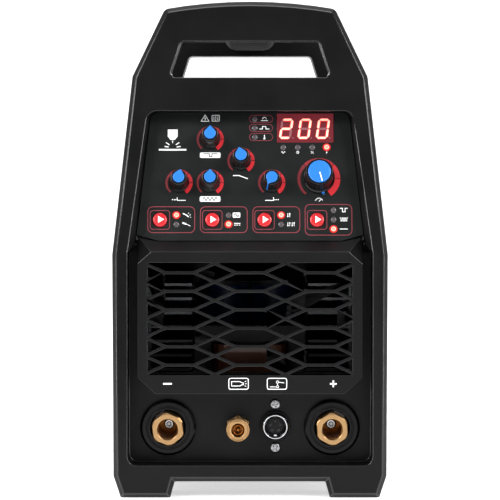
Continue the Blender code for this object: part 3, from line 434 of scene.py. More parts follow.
SMALL_KNOBS = ("ac_balance", "ac_frequency", "pre_flow", "down_slope", "post_flow")


def hub(joint, middle_deg=0.0):
    """The frame of a knob on the panel, turned so that Y is its pointer at rest; middle_deg is mid-scale."""
    at = joint_at(joint, PANEL)
    pointer_deg = middle_deg - sum(JOINTS[joint]["range_deg"]) / 2
    return PANEL @ shift(at.x, at.y) @ spin(-pointer_deg)


def small_knob(name):
    """A ribbed knob with a skirt; its cap is a drop whose tip runs on as a line down the side."""
    place, body = hub(f"{name}_turn"), f"{name}_knob"
    front, skirt = 14.1, 7.0
    profile = [(0.0, -2.3), (3.0, -2.3), (3.0, 1.1), (6.6, 0.9), (skirt, 1.2), (skirt, 2.3), (6.8, 2.7)]
    profile += [(6.35, 3.1), (6.25, 4.4, 0.0), (6.2, 4.9, 0.28), (5.75, 12.6, 0.24), (5.65, 13.1, 0.0)]
    profile += [(5.4, 13.8), (5.0, front), (0.0, front)]
    piece(f"knob_{name}_body", turned(profile, 144, 24), KNOB, place, body,
          [f"knob_{name}"], 0.12)
    drop = plate([*arc((0.0, 0.0), 3.9, 140, 400, 28), (0.0, 5.45)], front - 0.1, front + 1.3)
    side = lifted([(4.6, -0.3), (4.6, 0.6), (5.3, 0.5), (5.85, -0.6)], front)
    side += [(6.4, 4.8), (7.05, 2.9), (6.6, 2.7), (5.6, 5.0)]
    line = moved(moved(plate(side, -0.45, 0.45), turn_deg=90, axis="X"), turn_deg=90)
    cap = together([drop, line])
    piece(f"knob_{name}_cap", cap, BLUE, place, body, [f"knob_cap_{name}"], 0.3)


def current_knob():
    """The tall output-current knob, with a skirt, a blue face with a white line and a pointed nib."""
    place, body = hub("current_turn", middle_deg=15.0), "current_knob"
    front = 18.1
    profile = [(0.0, -2.3), (3.0, -2.3), (3.0, 1.1), (10.4, 0.9), (10.8, 1.2), (10.8, 3.1), (10.5, 3.5)]
    profile += [(9.9, 4.0), (9.7, 4.8), (9.7, 5.4, 0.3), (9.55, 16.2, 0.26), (9.5, 16.8), (9.4, 17.4)]
    profile += lifted([(8.9, 0.0), (8.1, 0.0), (7.95, -0.5), (0.0, -0.5)], front)
    nib = plate([(-1.9, 9.6), (1.9, 9.6), (0.35, 12.5), (-0.35, 12.5)], 1.3, 3.0)
    piece("knob_current_body", together([turned(profile, 216, 36), nib]), KNOB, place, body,
          ["knob_current"], 0.15)
    disc = lifted([(0.0, -0.4), (7.7, -0.4), (7.7, 0.9), (7.3, 1.3), (0.0, 1.4)], front)
    piece("knob_current_cap", turned(disc, 96), BLUE, place, body, ["knob_cap_current"], 0.15)
    line = plate(rounded_box((0.0, 3.9), (0.75, 6.6), 0.36), front + 1.3, front + 1.48)
    piece("knob_current_line", line, WHITE_PRINT, place, body)
    arrow = [stroke([(-1.35, 9.8), (0.0, 12.1), (1.35, 9.8)], 0.6, 2.9, 3.15)]
    arrow.append(stroke([(0.0, 9.8), (0.0, 11.4)], 0.4, 2.9, 3.12))
    piece("knob_current_arrow", together(arrow), BLUE, place, body)


def button(name):
    """A domed push button with a white triangle."""
    place, body, radius = facing(f"button_{name}", PANEL), f"{name}_button", 4.9
    dome = [(0.0, -2.2), (radius, -2.2), (radius, 0.5), (4.75, 0.85), (4.4, 1.08), (3.6, 1.22), (2.0, 1.3)]
    dome.append((0.0, 1.32))
    piece(f"button_{name}_cap", turned(dome, 72), RED, place, body, [f"button_{name}"])
    triangle = [(-1.25, -2.6), (2.9, 0.0), (-1.25, 2.6)]
    piece(f"button_{name}_mark", plate(triangle, 1.0, 1.37), WHITE_PRINT, place, body)


GROUPS = {  # lamp column, lamp heights with the lit one first, outline centre and size
    "process": (-50.6, (18.1, 11.6), (-54.1, 14.85), (32.2, 18.4)),
    "current_type": (-14.7, (11.6, 18.1), (-18.0, 14.85), (32.2, 18.4)),
    "trigger_mode": (21.4, (18.1, 11.6), (18.1, 14.85), (32.2, 18.4)),
    "pulse": (57.4, (8.2, 15.0, 21.7), (53.95, 14.8), (32.1, 21.8)),
}
UNIT_LAMPS, UNIT_V, STATUS_X, STATUS_V = (53.0, 23.0, 33.0, 43.0), 66.7, 3.3, (74.1, 80.7, 87.2)


def lamp(name, at, lit):
    """A domed lens on the board's lamp; a lit one has a bright rim round a redder middle."""
    place, slot = PANEL @ shift(*at), "display_glow"
    dome = [(0.0, -1.0), (2.05, -1.0), (2.05, -0.15), (1.72, 0.0), (1.72, 0.55), (1.6, 0.78), (1.25, 0.95)]
    dome += [(0.95, 0.98), (0.0, 1.05)]
    piece(f"lamp_{name}", turned(dome, 40), LAMP_LIT if lit else LAMP_OFF, place)
    if lit:
        glow = [(1.75, 0.0), (2.75, 0.0), (2.75, 0.05), (1.75, PRINT)]
        piece(f"lamp_{name}_glow", turned(glow, 40, closed=True), LAMP_GLOW, place)
        core = [(0.45, 0.9), (0.85, 0.9), (0.8, 1.1), (0.5, 1.12)]
        piece(f"lamp_{name}_core", turned(core, 32, closed=True), LAMP_CORE, place)


def lamps():
    for name, (x, heights, *_) in GROUPS.items():
        for i, v in enumerate(heights):
            lamp(f"{name}_{i + 1}", (x, v), i == 0)
    for i, x in enumerate(UNIT_LAMPS):
        lamp(f"unit_{i + 1}", (x, UNIT_V), i == 0)
    for i, v in enumerate(STATUS_V):
        lamp(f"status_{i + 1}", (STATUS_X, v), False)


SEGMENTS = {"2": "abged", "0": "abcdef"}


def segment_bars(height, width, thick, gap):
    """The outline of each bar of an upright seven-segment digit, centred on the origin."""
    half_w, half_h, t = width / 2 - thick / 2, height / 2 - thick / 2, thick / 2

    def level(y):
        end, inner = half_w - gap, half_w - gap - t
        return [(-end, y), (-inner, y - t), (inner, y - t), (end, y), (inner, y + t), (-inner, y + t)]

    def upright(x, y):
        low, high = y + gap, y + half_h - gap
        return [(x, low), (x + t, low + t), (x + t, high - t), (x, high), (x - t, high - t), (x - t, low + t)]

    return {"a": level(half_h), "g": level(0.0), "d": level(-half_h), "f": upright(-half_w, 0.0),
            "b": upright(half_w, 0.0), "e": upright(-half_w, -half_h), "c": upright(half_w, -half_h)}


def display():
    """The glowing window with three slanted digits, their dark bars and decimal points; the dark bars and
    points carry a faint painted glow.
    """
    low, high = extent("display_window", PANEL)
    centre, size, front = (low + high) / 2, high - low, high.z
    window = plate(rounded_box(centre[:2], size[:2], 0.4), low.z, front)
    piece("display_window_lens", window, WINDOW, PANEL, nodes=["display_window"],
          width=0.12)
    bars, glows = segment_bars(14.6, 8.3, 1.5, 0.2), segment_bars(15.2, 8.9, 2.3, -0.1)
    pitch, slant = 12.7, tan(radians(8))
    lit, unlit, glow = [], [], []
    for i, digit in enumerate("200"):
        at = (centre.x + (i - 1) * pitch - 0.4, centre.y - 0.6)
        for name, outline in bars.items():
            on = name in SEGMENTS[digit]
            bar = plate(shifted(outline, at, lean=slant), front - 0.05, front + PRINT)
            (lit if on else unlit).append(bar)
            if on:
                glow.append(plate(shifted(glows[name], at, lean=slant), front - 0.05, front + PRINT / 2))
        unlit.append(plate(circle((at[0] + 4.6, at[1] - 6.6), 0.5, 20), front - 0.05, front + PRINT))
    piece("display_digits", together(lit), DIGITS, PANEL)
    piece("display_digit_glow", together(glow), DIGIT_GLOW, PANEL)
    piece("display_dark_bars", together(unlit), UNLIT_PAINTED_GLOW, PANEL)


# ---- panel print

def scale_ring(at, outer, thin, thick):
    """A scale that widens and brightens clockwise, broken by four dark ticks."""
    ticks, gap_deg = (-140.0, -45.0, 0.0, 45.0, 90.0, 146.0), degrees(0.5 / outer)
    found = []
    for i, (start, end) in enumerate(zip(ticks, ticks[1:])):
        start, end = start + (gap_deg / 2 if i else 0.0), end - (gap_deg / 2 if end != ticks[-1] else 0.0)
        edges, steps = ([], []), 16
        for step in range(steps + 1):
            clockwise = start + (end - start) * step / steps
            share = (clockwise - ticks[0]) / (ticks[-1] - ticks[0])
            along = (sin(radians(clockwise)), cos(radians(clockwise)))
            for edge, radius in zip(edges, (outer, outer - thin - (thick - thin) * share)):
                edge.append((at[0] + radius * along[0], at[1] + radius * along[1]))
        found.append((i, ribbon(*edges, 0.0, PRINT)))
    return found


def rings():
    """Every scale's steps, in one piece for each brightness."""
    steps = {}
    for name in (*SMALL_KNOBS, "current"):
        at = joint_at(f"{name}_turn", PANEL)[:2]
        sizes = (14.8, 1.5, 4.4) if name == "current" else (9.4, 1.1, 3.3)
        for i, band in scale_ring(at, *sizes):
            steps.setdefault(i, []).append(band)
    for i, bands in steps.items():
        piece(f"panel_scale_{i + 1}", together(bands), RING_STEPS[i], PANEL)


def wave(width, height, periods, square=False, steps=12):
    """A sine or square wave, centred on the origin."""
    if not square:
        count = int(periods * steps)
        return [(width * (i / count - 0.5), height / 2 * sin(2 * pi * periods * i / count))
                for i in range(count + 1)]
    found, step = [], width / (2 * periods)
    for i in range(int(2 * periods)):
        y = height / 2 * (-1 if i % 2 else 1)
        found += [(-width / 2 + i * step, y), (-width / 2 + (i + 1) * step, y)]
    return found


def ink(at, *paths, width=0.5, low=0.0, high=PRINT):
    """Strokes drawn about a point."""
    return [stroke(shifted(path, at), width, low, high) for path in paths]


def outline(centre, size, radius, width):
    return stroke(rounded_box(centre, size, radius), width, closed=True)


def filled(points):
    return plate(points, 0.0, PRINT)


def dots(places, radius, segments=16):
    return [filled(circle(at, radius, segments)) for at in places]


def panel_outlines():
    """Thin outlines round the lamp groups, the buttons and the status marks."""
    thin = [outline(centre, size, 3.4, 0.55) for _, _, centre, size in GROUPS.values()]
    for name in GROUPS:
        at = middle(f"button_{name}", PANEL)
        thin.append(outline((at.x, at.y), (13.4, 13.4), 2.0, 0.5))
    thin += [outline((7.7, v), (16.0, 5.2), 2.55, 0.4) for v in STATUS_V]
    piece("panel_outlines", together(thin), THIN_PRINT, PANEL)


def label_boxes():
    """White boxes for balance, frequency and AC, and the dark waves on them."""
    balance, frequency, ac = (-27.5, 61.0), (-27.5, 29.6), (-9.3, 18.1)
    white = [filled(rounded_box(at, (14.2, 3.9), 0.9)) for at in (balance, frequency)]
    white.append(filled(rounded_box(ac, (5.2, 3.7), 0.7)))
    above = {"low": PRINT - 0.02, "high": 2 * PRINT}
    steps = [(-4.6, 1), (-0.6, 1), (-0.6, -1), (1.2, -1), (1.2, 1), (5.0, 1)]
    dark = ink(balance, steps, width=0.55, **above)
    dark += ink(frequency, wave(9.6, 2.2, 3.5), width=0.5, **above)
    dark += ink(ac, wave(3.6, 1.9, 1.0), width=0.55, **above)
    return white, dark


def knob_marks():
    """Gas before, down slope, gas after and a dial, each under its knob."""
    white = ink((-48.9, 29.5), [(-1.2, -0.9), (4.6, -0.9)], [(-1.2, -1.2), (-1.2, 1.3)])
    white += dots([(-48.9 + x, 29.1) for x in (-4.4, -3.2, -2.1)], 0.38)
    white += ink((-6.2, 45.3), [(-5.4, 1.1), (-1.4, 1.1), (4.6, -1.2)], width=0.6)
    white += ink((15.0, 29.5), [(-4.6, -0.9), (1.2, -0.9)], [(1.2, -1.2), (1.2, 1.3)])
    white += dots([(15.0 + x, 29.1) for x in (2.1, 3.2, 4.4)], 0.38)
    return white + ink((47.5, 27.6), arc((0.0, 0.0), 2.6, 20, 160, 14), [(0.0, 0.2), (1.3, 1.7)], width=0.45)


def unit_marks():
    """Frequency, time, percent and current, under their lamps."""
    current_x, frequency_x, time_x, percent_x = UNIT_LAMPS
    v = UNIT_V - 3.7
    white = ink((frequency_x, v), wave(2.6, 1.3, 1.5), width=0.35)
    white.append(stroke(circle((time_x, v), 0.85, 20), 0.3, closed=True))
    white += ink((time_x, v), [(0.0, 0.5), (0.0, 0.0), (0.4, 0.0)], width=0.28)
    white += ink((percent_x, v), [(-0.8, -0.8), (0.8, 0.8)], width=0.35)
    white += dots([(percent_x + side * 0.7, v - side * 0.6) for side in (-1, 1)], 0.3, 12)
    bolt = [(0.3, 1.2), (-0.7, -0.2), (0.0, -0.2), (-0.3, -1.2), (0.7, 0.3), (0.05, 0.3)]
    return [*white, filled(shifted(bolt, (current_x, v)))]


def group_marks():
    """Beside the lamps: electrode or torch, AC or DC, two or four strokes, and the pulse's speed."""
    high, low = 18.1, 11.6
    x = -43.6
    white = ink((x, high), [(-2.6, 1.2), (-0.4, 0.2), (1.4, -1.2)], width=0.75)
    sparks = [[(2.0, -0.2), (2.9, 0.4)], [(1.0, 0.9), (1.6, 1.7)], [(2.3, -1.4), (3.2, -1.6)]]
    white += ink((x, high), *sparks, width=0.35)
    white += ink((x, low), [(-2.8, 1.0), (-0.2, 0.1)], width=1.1)
    white += ink((x, low), [(-0.2, 0.1), (2.6, -1.3)], width=0.4)
    x = -8.7
    white += ink((x, 12.2), [(-2.2, 0.0), (2.0, 0.0)], width=0.5)
    white += ink((x, 11.0), *[[(start, 0.0), (start + 1.0, 0.0)] for start in (-2.2, -0.6, 1.0)])
    for v, presses in ((high, 1), (low, 2)):
        for press in range(presses):
            x = 26.6 + press * 3.0
            white += ink((x, v), [(-0.6, 1.4), (-0.6, -1.4)], [(0.7, -1.4), (0.7, 1.4)], width=0.4)
            white.append(filled(shifted([(-1.3, -0.6), (-0.6, -1.7), (0.1, -0.6)], (x, v))))
            white.append(filled(shifted([(0.0, 0.6), (0.7, 1.7), (1.4, 0.6)], (x, v))))
    x = 64.5
    white += ink((x, 21.7), wave(5.4, 2.5, 1.5, True), width=0.5)
    white += ink((x, 15.0), wave(5.6, 2.2, 3.5, True), width=0.4)
    return white + ink((x, 8.2), [(-2.8, 0.0), (2.8, 0.0)], width=0.5)


def status_marks():
    """A thermometer, a pulse and an alarm bell, beside the status lamps."""
    x, (hot, pulse, alarm) = 10.0, STATUS_V
    white = ink((x, hot), [(0.0, -1.2), (0.0, 1.5)], width=0.6)
    white += dots([(x, hot - 1.0)], 0.75, 20)
    steps = [(-3.6, -0.8), (-1.4, -0.8), (-1.4, 1.0), (1.0, 1.0), (1.0, -0.8), (3.4, -0.8)]
    white += ink((x, pulse), steps, width=0.5)
    bell = [(-1.4, -0.2), (-0.9, 0.9), (0.0, 1.2), (0.9, 0.9), (1.4, -0.2)]
    return white + ink((x, alarm), [(-2.4, -1.2), (2.4, -1.2)], bell, width=0.45)


def torch_mark(at):
    """A plain welding pictogram: a torch's nozzle and tip over a plate, with sparks."""
    nozzle = filled(shifted([(-3.4, 8.0), (3.4, 8.0), (3.4, 3.0), (1.6, 0.6), (-1.6, 0.6), (-3.4, 3.0)], at))
    tip = filled(shifted([(-0.45, 0.0), (0.45, 0.0), (0.0, -2.4)], at))
    rays = [[(side * a, b), (side * c, d)] for a, b, c, d in ((2.2, -3.0, 4.6, -1.4), (2.8, -4.6, 5.6, -4.2))
            for side in (-1, 1)]
    return [nozzle, tip, *ink(at, *rays, width=0.7), *ink(at, [(-9.5, -6.6), (9.5, -6.6)], width=1.2)]


def notice_marks():
    """A warning triangle and an open book."""
    warning, book = (-31.1, 87.6), (-23.8, 87.7)
    white = [stroke(shifted([(-2.7, -2.1), (2.7, -2.1), (0.0, 2.5)], warning), 0.4, closed=True)]
    white += ink(warning, [(0.2, 1.2), (-0.4, -0.1), (0.4, -0.3), (-0.1, -1.4)], width=0.35)
    white.append(outline(book, (5.0, 4.2), 0.5, 0.4))
    rows = [[(side * 0.8, y), (side * 1.8, y)] for side in (-1, 1) for y in (-0.8, 0.0, 0.8)]
    return white + ink(book, [(0.0, -2.0), (0.0, 2.0)], *rows, width=0.3)


def panel_print():
    """Outlines, label boxes and plain pictograms; there is no lettering."""
    panel_outlines()
    white, dark = label_boxes()
    white += [*knob_marks(), *unit_marks(), *group_marks(), *status_marks()]
    white += [*torch_mark((-53.5, 71.5)), *notice_marks()]
    piece("panel_marks_white", together(white), WHITE_PRINT, PANEL)
    piece("panel_marks_dark", together(dark), DARK_PRINT, PANEL)


def grille_print():
    """Polarity signs, and boxed symbols for gas and for the torch's switch, under the air inlet."""
    face = FRONT @ shift(0.0, 0.0, extent("front_grille", FRONT)[1].z)
    minus, plus, gas, torch = [middle(node, FRONT).x for node in (
        "minus_socket_insert", "plus_socket_insert", "gas_outlet", "torch_socket_shell")]
    plus, gas, torch, v = plus + 0.5, gas + 0.4, torch + 1.0, 78.0
    marks = [filled(rounded_box((minus, v), (6.0, 1.1), 0.1))]
    marks += ink((plus, v), [(-2.3, 0.0), (2.3, 0.0)], [(0.0, -2.3), (0.0, 2.3)], width=1.05)
    marks += [outline((x, v), (13.3, 7.5), 1.3, 0.55) for x in (gas, torch)]
    bottle = [(-4.6, -1.5), (1.2, -1.5), (2.4, -0.7), (3.4, -0.7), (3.4, 0.7), (2.4, 0.7), (1.2, 1.5)]
    bottle.append((-4.6, 1.5))
    marks.append(stroke(shifted(bottle, (gas - 0.2, v)), 0.5, closed=True))
    puffs = [[(4.2, 1.3), (5.2, 1.9)], [(4.4, 0.0), (5.6, 0.0)], [(4.2, -1.3), (5.2, -1.9)]]
    marks += ink((gas, v), *puffs, width=0.4)
    switch = [[(-4.8, -2.1), (-0.3, -2.1)], [(0.9, 1.2), (4.9, 0.6)], [(0.4, -1.4), (0.4, 0.4)]]
    marks += ink((torch, v), *switch, width=0.45)
    marks += [stroke(circle((torch + 0.4, v + y), 0.75, 20), 0.4, closed=True) for y in (-2.0, 1.2)]
    piece("grille_marks", together(marks), WHITE_PRINT, face)


# ---- sockets on the front

def hexagon(across_flats, corner_radius, depth, turn_deg=30.0, segments=96):
    """A hexagon with turned-down corners, as a loop at one depth."""
    found = []
    for i in range(segments):
        angle = 2 * pi * i / segments
        off_flat = (angle - radians(turn_deg)) % (pi / 3) - pi / 6
        radius = min(corner_radius, across_flats / 2 / cos(off_flat))
        found.append((radius * cos(angle), radius * sin(angle), depth))
    return found


def round_loop(radius, depth, segments=96):
    return [(*p, depth) for p in circle((0.0, 0.0), radius, segments)]


def hexagon_base(seat, side, top, bore):
    """A hexagonal base with a round hole; side and top are (across flats, corner radius, height)."""
    loops = [hexagon(*side[:2], seat)] + [hexagon(*size, seat + height) for *size, height in (side, top)]
    return skin([*loops, round_loop(bore, seat + top[2]), round_loop(bore, seat)], closed=True)


def output_socket(label, turn_deg):
    """A cable socket: stepped black flange, hexagonal brass insert with a dark bore, and the screw's end."""
    place = facing(f"{label}_socket_flange", FRONT)
    high = extent(f"{label}_socket_flange", place)[1]
    outer, face, inner = high.x, high.z, 12.1
    rim = lifted([(inner, 0.0), (outer, 0.0), (outer, 2.9), (outer - 0.25, 3.3)], SOCKET_FLOOR)
    rim += lifted([(17.6, -0.05), (17.2, 0.0), (15.0, 0.0), (14.75, -0.3), (14.0, -0.3), (13.75, 0.0)], face)
    rim += lifted([(inner + 0.2, 0.0), (inner, -0.2)], face)
    piece(f"{label}_socket_collar", turned(rim, 96, closed=True), BLACK, place,
          nodes=[f"{label}_socket_flange"], width=0.12)

    nose = extent(f"{label}_socket_insert", place)[1].z
    turn = 30.0 + turn_deg
    loops = [hexagon(20.0, 10.35, nose, turn), hexagon(20.7, 10.85, nose - 0.3, turn)]
    loops += [hexagon(21.2, 11.35, nose - depth, turn) for depth in (0.8, 26.0)]
    mouth = ((6.6, 26.0), (6.6, 1.2), (7.1, 0.25), (7.5, 0.0))
    loops += [round_loop(radius, nose - depth) for radius, depth in mouth]
    piece(f"{label}_socket_nose", skin(loops, closed=True), BRASS, place,
          nodes=[f"{label}_socket_insert"], width=0.1)
    bore = [(6.6, -1.3), (6.4, -1.5), (6.4, -41.0), (3.6, -41.0), (3.6, -41.6), (6.6, -41.6)]
    piece(f"{label}_socket_bore", turned(lifted(bore, nose), 72, closed=True), BORE, place)

    end = extent(f"socket_screw_{label}", place)[1].z
    screw = [(0.0, -12.0), (3.3, -12.0), (3.3, -0.6), (3.1, -0.2), (2.8, 0.0), (1.7, 0.0), (1.3, -0.5)]
    screw.append((0.0, -0.6))
    piece(f"socket_screw_{label}_end", turned(lifted(screw, end), 48), NICKEL, place,
          nodes=[f"socket_screw_{label}"], width=0.1)


def gas_outlet():
    """A turned brass coupling on a hexagon, with a sleeve and a valve pin in its mouth."""
    place = facing("gas_outlet", FRONT)
    front, seat = extent("gas_outlet", place)[1].z, SOCKET_FLOOR
    ring = [(4.6, -0.3), (5.0, 0.0), (6.3, 0.0), (6.5, -0.35), (6.9, -0.35), (7.2, 0.0), (7.6, -0.1)]
    ring += [(8.1, -0.8), (8.1, -2.2), (7.85, -2.5), (7.85, -3.1), (8.1, -3.4), (8.1, -6.8), (6.7, -8.2)]
    ring = [*lifted([*ring, (6.6, -14.0)], front), (6.6, seat), (4.6, seat)]
    piece("gas_outlet_body", turned(ring, 96, closed=True), BRASS, place, nodes=["gas_outlet"],
          width=0.1)
    nut = hexagon_base(seat, (15.4, 8.85, 4.9), (14.6, 8.3, 5.4), 6.5)
    piece("gas_outlet_hexagon", nut, BRASS, place, width=0.15)
    sleeve = lifted([(2.7, -2.2), (3.1, -1.9), (3.6, -2.2), (3.6, -11.0), (2.7, -11.0)], front)
    piece("gas_outlet_sleeve", turned(sleeve, 64, closed=True), BORE, place, width=0.1)
    pin = [(0.0, -11.4), (4.6, -11.4), (4.6, -10.8), (1.3, -10.8), (1.3, -3.6), (0.8, -3.0), (0.0, -2.9)]
    piece("gas_outlet_pin", turned(lifted(pin, front), 48), BORE, place, width=0.1)


def cross_screw(name, place, node, radius, high, low, metal=NICKEL):
    """A pan-head screw with a cross recess."""
    rise = high - low
    head = [(0.0, low), (radius, low), (radius, high - rise * 0.45), (radius * 0.93, high - rise * 0.2)]
    head += [(radius * 0.8, high - rise * 0.03), (radius * 0.7, high), (0.0, high)]
    arms = []
    for turn in (22.0, 112.0):
        slot_cut = skin([[(sx * w, sy * r, z) for sx, sy in ((-1, -1), (1, -1), (1, 1), (-1, 1))]
                         for w, r, z in ((0.11 * radius, 0.42 * radius, high - rise * 0.7),
                                         (0.15 * radius, 0.64 * radius, high + 0.2))])
        arms.append(moved(slot_cut, turn_deg=turn))
    solid = turned(head, 48)
    for arm in arms:
        solid = carved(solid, arm)
    piece(name, solid, metal, place, nodes=[node], width=0.05)


def torch_socket():
    """The torch-switch socket: threaded bright shell, black insert with five pins and a key, two screws."""
    place = facing("torch_socket_shell", FRONT)
    outer, front = [extent("torch_socket_shell", place)[1][axis] for axis in (0, 2)]
    seat, thread, inner = SOCKET_FLOOR, outer - 0.28, outer + 0.15
    shell = lifted([(6.3, -1.9), (7.4, -0.2), (7.7, 0.0), (8.2, 0.0), (outer, -0.6)], front)
    for step in range(6):
        turn = [(outer, 0.0), (thread, -0.35), (thread, -0.5), (outer, -0.85)]
        shell += lifted(turn, front - 1.2 - step)
    shell += [(outer, seat - 2.0), (6.3, seat - 2.0)]
    piece("torch_socket_ring", turned(shell, 96, closed=True), CHROME, place,
          nodes=["torch_socket_shell"], width=0.08)
    collar = [(inner, 0.0), (10.7, 0.0), (10.7, 2.8), (10.35, 3.25), (9.6, 3.3), (inner, 2.9)]
    piece("torch_socket_washer", turned(lifted(collar, seat), 96, closed=True), BLACK, place,
          nodes=["torch_socket_collar"], width=0.1)
    floor = -19.0
    insert = [(0.0, -6.0), (6.2, -6.0), (6.2, 0.6), (5.8, 0.6), (5.5, 0.0), (0.0, 0.0)]
    piece("torch_socket_core", turned(lifted(insert, floor), 72), BLACK, place,
          nodes=["torch_socket_insert"], width=0.08)
    pin = [(0.0, -0.2), (1.05, -0.2), (1.05, 0.3), (0.8, 0.4), (0.75, 3.0), (0.45, 3.4), (0.0, 3.4)]
    pins = [moved(turned(lifted(pin, floor), 24), (x, y, 0.0)) for x, y in arc((0.0, 0.0), 3.6, 90, 378, 4)]
    piece("torch_socket_pins", together(pins), PIN, place)
    key = plate(rounded_box((0.0, -5.8), (2.0, 1.1), 0.3), floor, front - 1.5)
    piece("torch_socket_key", key, CHROME, place, width=0.15)
    for end in ("lower", "upper"):
        node = f"torch_socket_screw_{end}"
        spot = facing(node, FRONT, 17.0 if end == "lower" else -8.0)
        cross_screw(f"{node}_head", spot, node, 3.5, extent(node, spot)[1].z, seat, SCREW)


def cover_screws():
    for side, label in ((-1.0, "left"), (1.0, "right")):
        face = place_on((0.0, 0.0, 0.0), (side, 0.0, 0.0), (0.0, 0.0, 1.0))
        for i, end in enumerate(("front", "rear")):
            node = f"cover_screw_{label}_{end}"
            spot = facing(node, face, 25.0 * i - 10.0)
            high = extent(node, spot)[1].z
            cross_screw(f"{node}_head", spot, node, 3.6, high, high - 2.4)


# ---- rear fittings

def fan_guard():
    """A moulded guard: a domed rim, rings of curved slots and four ribs."""
    place = facing("fan_guard", REAR)
    low, high = extent("fan_guard", place)
    outer, seat, face = 59.0, low.z, high.z
    disc = [(0.0, seat), (outer, seat)]
    disc += lifted([(outer, -0.9), (outer - 0.3, -0.3), (outer - 1.0, 0.0), (0.0, 0.0)], face)
    first, width, pitch, half_rib = 12.0, 7.0, 10.0, 2.2
    slots = []
    for ring in range(4):
        inner = first + ring * pitch
        rib_deg, steps = degrees(half_rib / (inner + width / 2)), 8 + 4 * ring
        for quarter in range(4):
            start, end = 45 + 90 * quarter + rib_deg, 135 + 90 * quarter - rib_deg
            outside = arc((0.0, 0.0), inner + width, start, end, steps)
            inside = arc((0.0, 0.0), inner, end, start, steps)
            slots.append(plate(outside + inside, seat - 2.0, face + 2.0))
    piece("fan_guard_rings", carved(turned(disc, 120), together(slots)), CASE, place,
          nodes=["fan_guard"], width=0.35)


def fan_rotor():
    """A hub with seven cambered blades."""
    place = facing("fan_rotor", REAR)
    low, high = extent("fan_rotor", place)
    back, front = high.z, low.z
    hub_radius = 17.0
    hub_body = [(0.0, front), (hub_radius, front), (hub_radius, back - 1.5), (hub_radius - 1.2, back - 0.3),
                (hub_radius - 2.2, back), (9.0, back), (8.6, back - 0.4), (0.0, back - 0.4)]
    parts = [turned(hub_body, 64)]
    blades, sections, steps, half_thick = 7, 8, 14, 0.65
    centre, root, tip = (back + front) / 2, 15.5, 50.5
    for blade in range(blades):
        loops = []
        for section in range(sections):
            share = section / (sections - 1)
            radius = root + (tip - root) * share
            half_deg, half_depth = 27.0 + 1.5 * share, 7.4 + 2.0 * share
            loop = []
            for side in (-1, 1):
                for step in range(steps + 1):
                    along = (2 * step / steps - 1) * -side
                    turn = radians(half_deg * along)
                    thick = half_thick * max(0.25, 1 - along ** 4) * side
                    bow = 0.5 * sin(pi * along)
                    height = centre - half_depth * along + bow - thick
                    loop.append((radius * cos(turn), radius * sin(turn), height))
            loops.append(loop)
        parts.append(moved(skin(loops), turn_deg=360 * blade / blades))
    piece("fan_rotor_blades", together(parts), BLACK, place, "fan", ["fan_rotor"],
          sharp_deg=50)


def mains_switch():
    """The framed switch body and its rocker, marked with a bar and a ring."""
    dress("switch_body", BLACK, width=0.3)
    place = facing("switch_rocker", REAR)
    low, high = extent("switch_rocker", place)
    half_w = (high.x - low.x) / 2
    hinge, tilt_deg = joint_at("rocker_tip", place), -9
    side = [(-8.2, 5.9), (-8.7, 1.5), (-6.0, -2.9), (6.0, -2.9), (8.7, 1.5), (8.2, 5.9)]
    side += [(x, 4.35 + 1.45 * (x / 8.2) ** 2) for x in (6.5, 4.5, 2.2, 0.0, -2.2, -4.5, -6.5)]
    loops = [[(x, y, z) for y, z in side] for x in (-half_w, half_w)]
    tipped = place @ shift(0.0, hinge.y, hinge.z) @ spin(tilt_deg, "X")
    piece("switch_rocker_body", skin(loops), ROCKER, tipped, "rocker", ["switch_rocker"], 0.35)
    marks = [plate(rounded_box((0.0, 5.0), (0.9, 3.4), 0.2), 4.6, 5.25)]
    marks.append(stroke(circle((0.0, -5.0), 1.6, 28), 0.6, 4.6, 5.25, closed=True))
    piece("switch_rocker_marks", together(marks), WHITE_PRINT, tipped, "rocker")


def cable_gland():
    """A hexagonal body and a ribbed dome nut round a rubber seal."""
    place = facing("cable_gland", REAR)
    seat, end = REAR_FLOOR, extent("cable_gland", place)[1].z
    base = hexagon_base(seat, (24.0, 13.9, 4.9), (23.2, 13.2, 5.4), 8.0)
    piece("cable_gland_hexagon", base, BLACK, place, nodes=["cable_gland"], width=0.25)
    dome = [(8.0, 5.2), (12.4, 5.2), (12.5, 5.8, 0.0), (12.5, 6.4, 0.7), (12.5, 13.4, 0.7), (12.2, 14.4, 0.3)]
    dome = lifted([*dome, (11.2, 16.6), (9.8, 19.0), (8.9, 20.4)], seat)
    dome += [(8.3, end), (6.6, end), (6.4, end - 0.4), (6.4, seat + 5.2)]
    nut = turned(dome, 144, 18, closed=True)
    piece("cable_gland_nut", nut, BLACK, place, width=0.12)
    seal = [(5.2, seat - 14.0), (6.5, seat - 14.0), (6.5, end - 1.2), (5.9, end - 0.9), (5.2, end - 1.2)]
    piece("cable_gland_seal", turned(seal, 64, closed=True), RUBBER, place, width=0.15)


def gas_inlet():
    """A brass hose barb on a hexagon."""
    place = facing("gas_inlet", REAR)
    seat, end = REAR_FLOOR, extent("gas_inlet", place)[1].z
    base = hexagon_base(seat, (14.0, 8.0, 5.6), (13.4, 7.5, 6.0), 4.0)
    piece("gas_inlet_hexagon", base, BRASS, place, nodes=["gas_inlet"], width=0.15)
    barb = [(2.6, seat - 14.0), (4.6, seat - 14.0), (4.6, seat + 7.6)]
    for step in range(4):
        barb += lifted([(4.5, 0.0), (5.6, 0.35), (5.6, 0.7), (4.5, 3.8)], seat + 9.0 + step * 4.0)
    barb += [(4.2, end), (2.9, end), (2.6, end - 0.3)]
    piece("gas_inlet_barb", turned(barb, 72, closed=True), BRASS, place, width=0.08)


# ---- inside

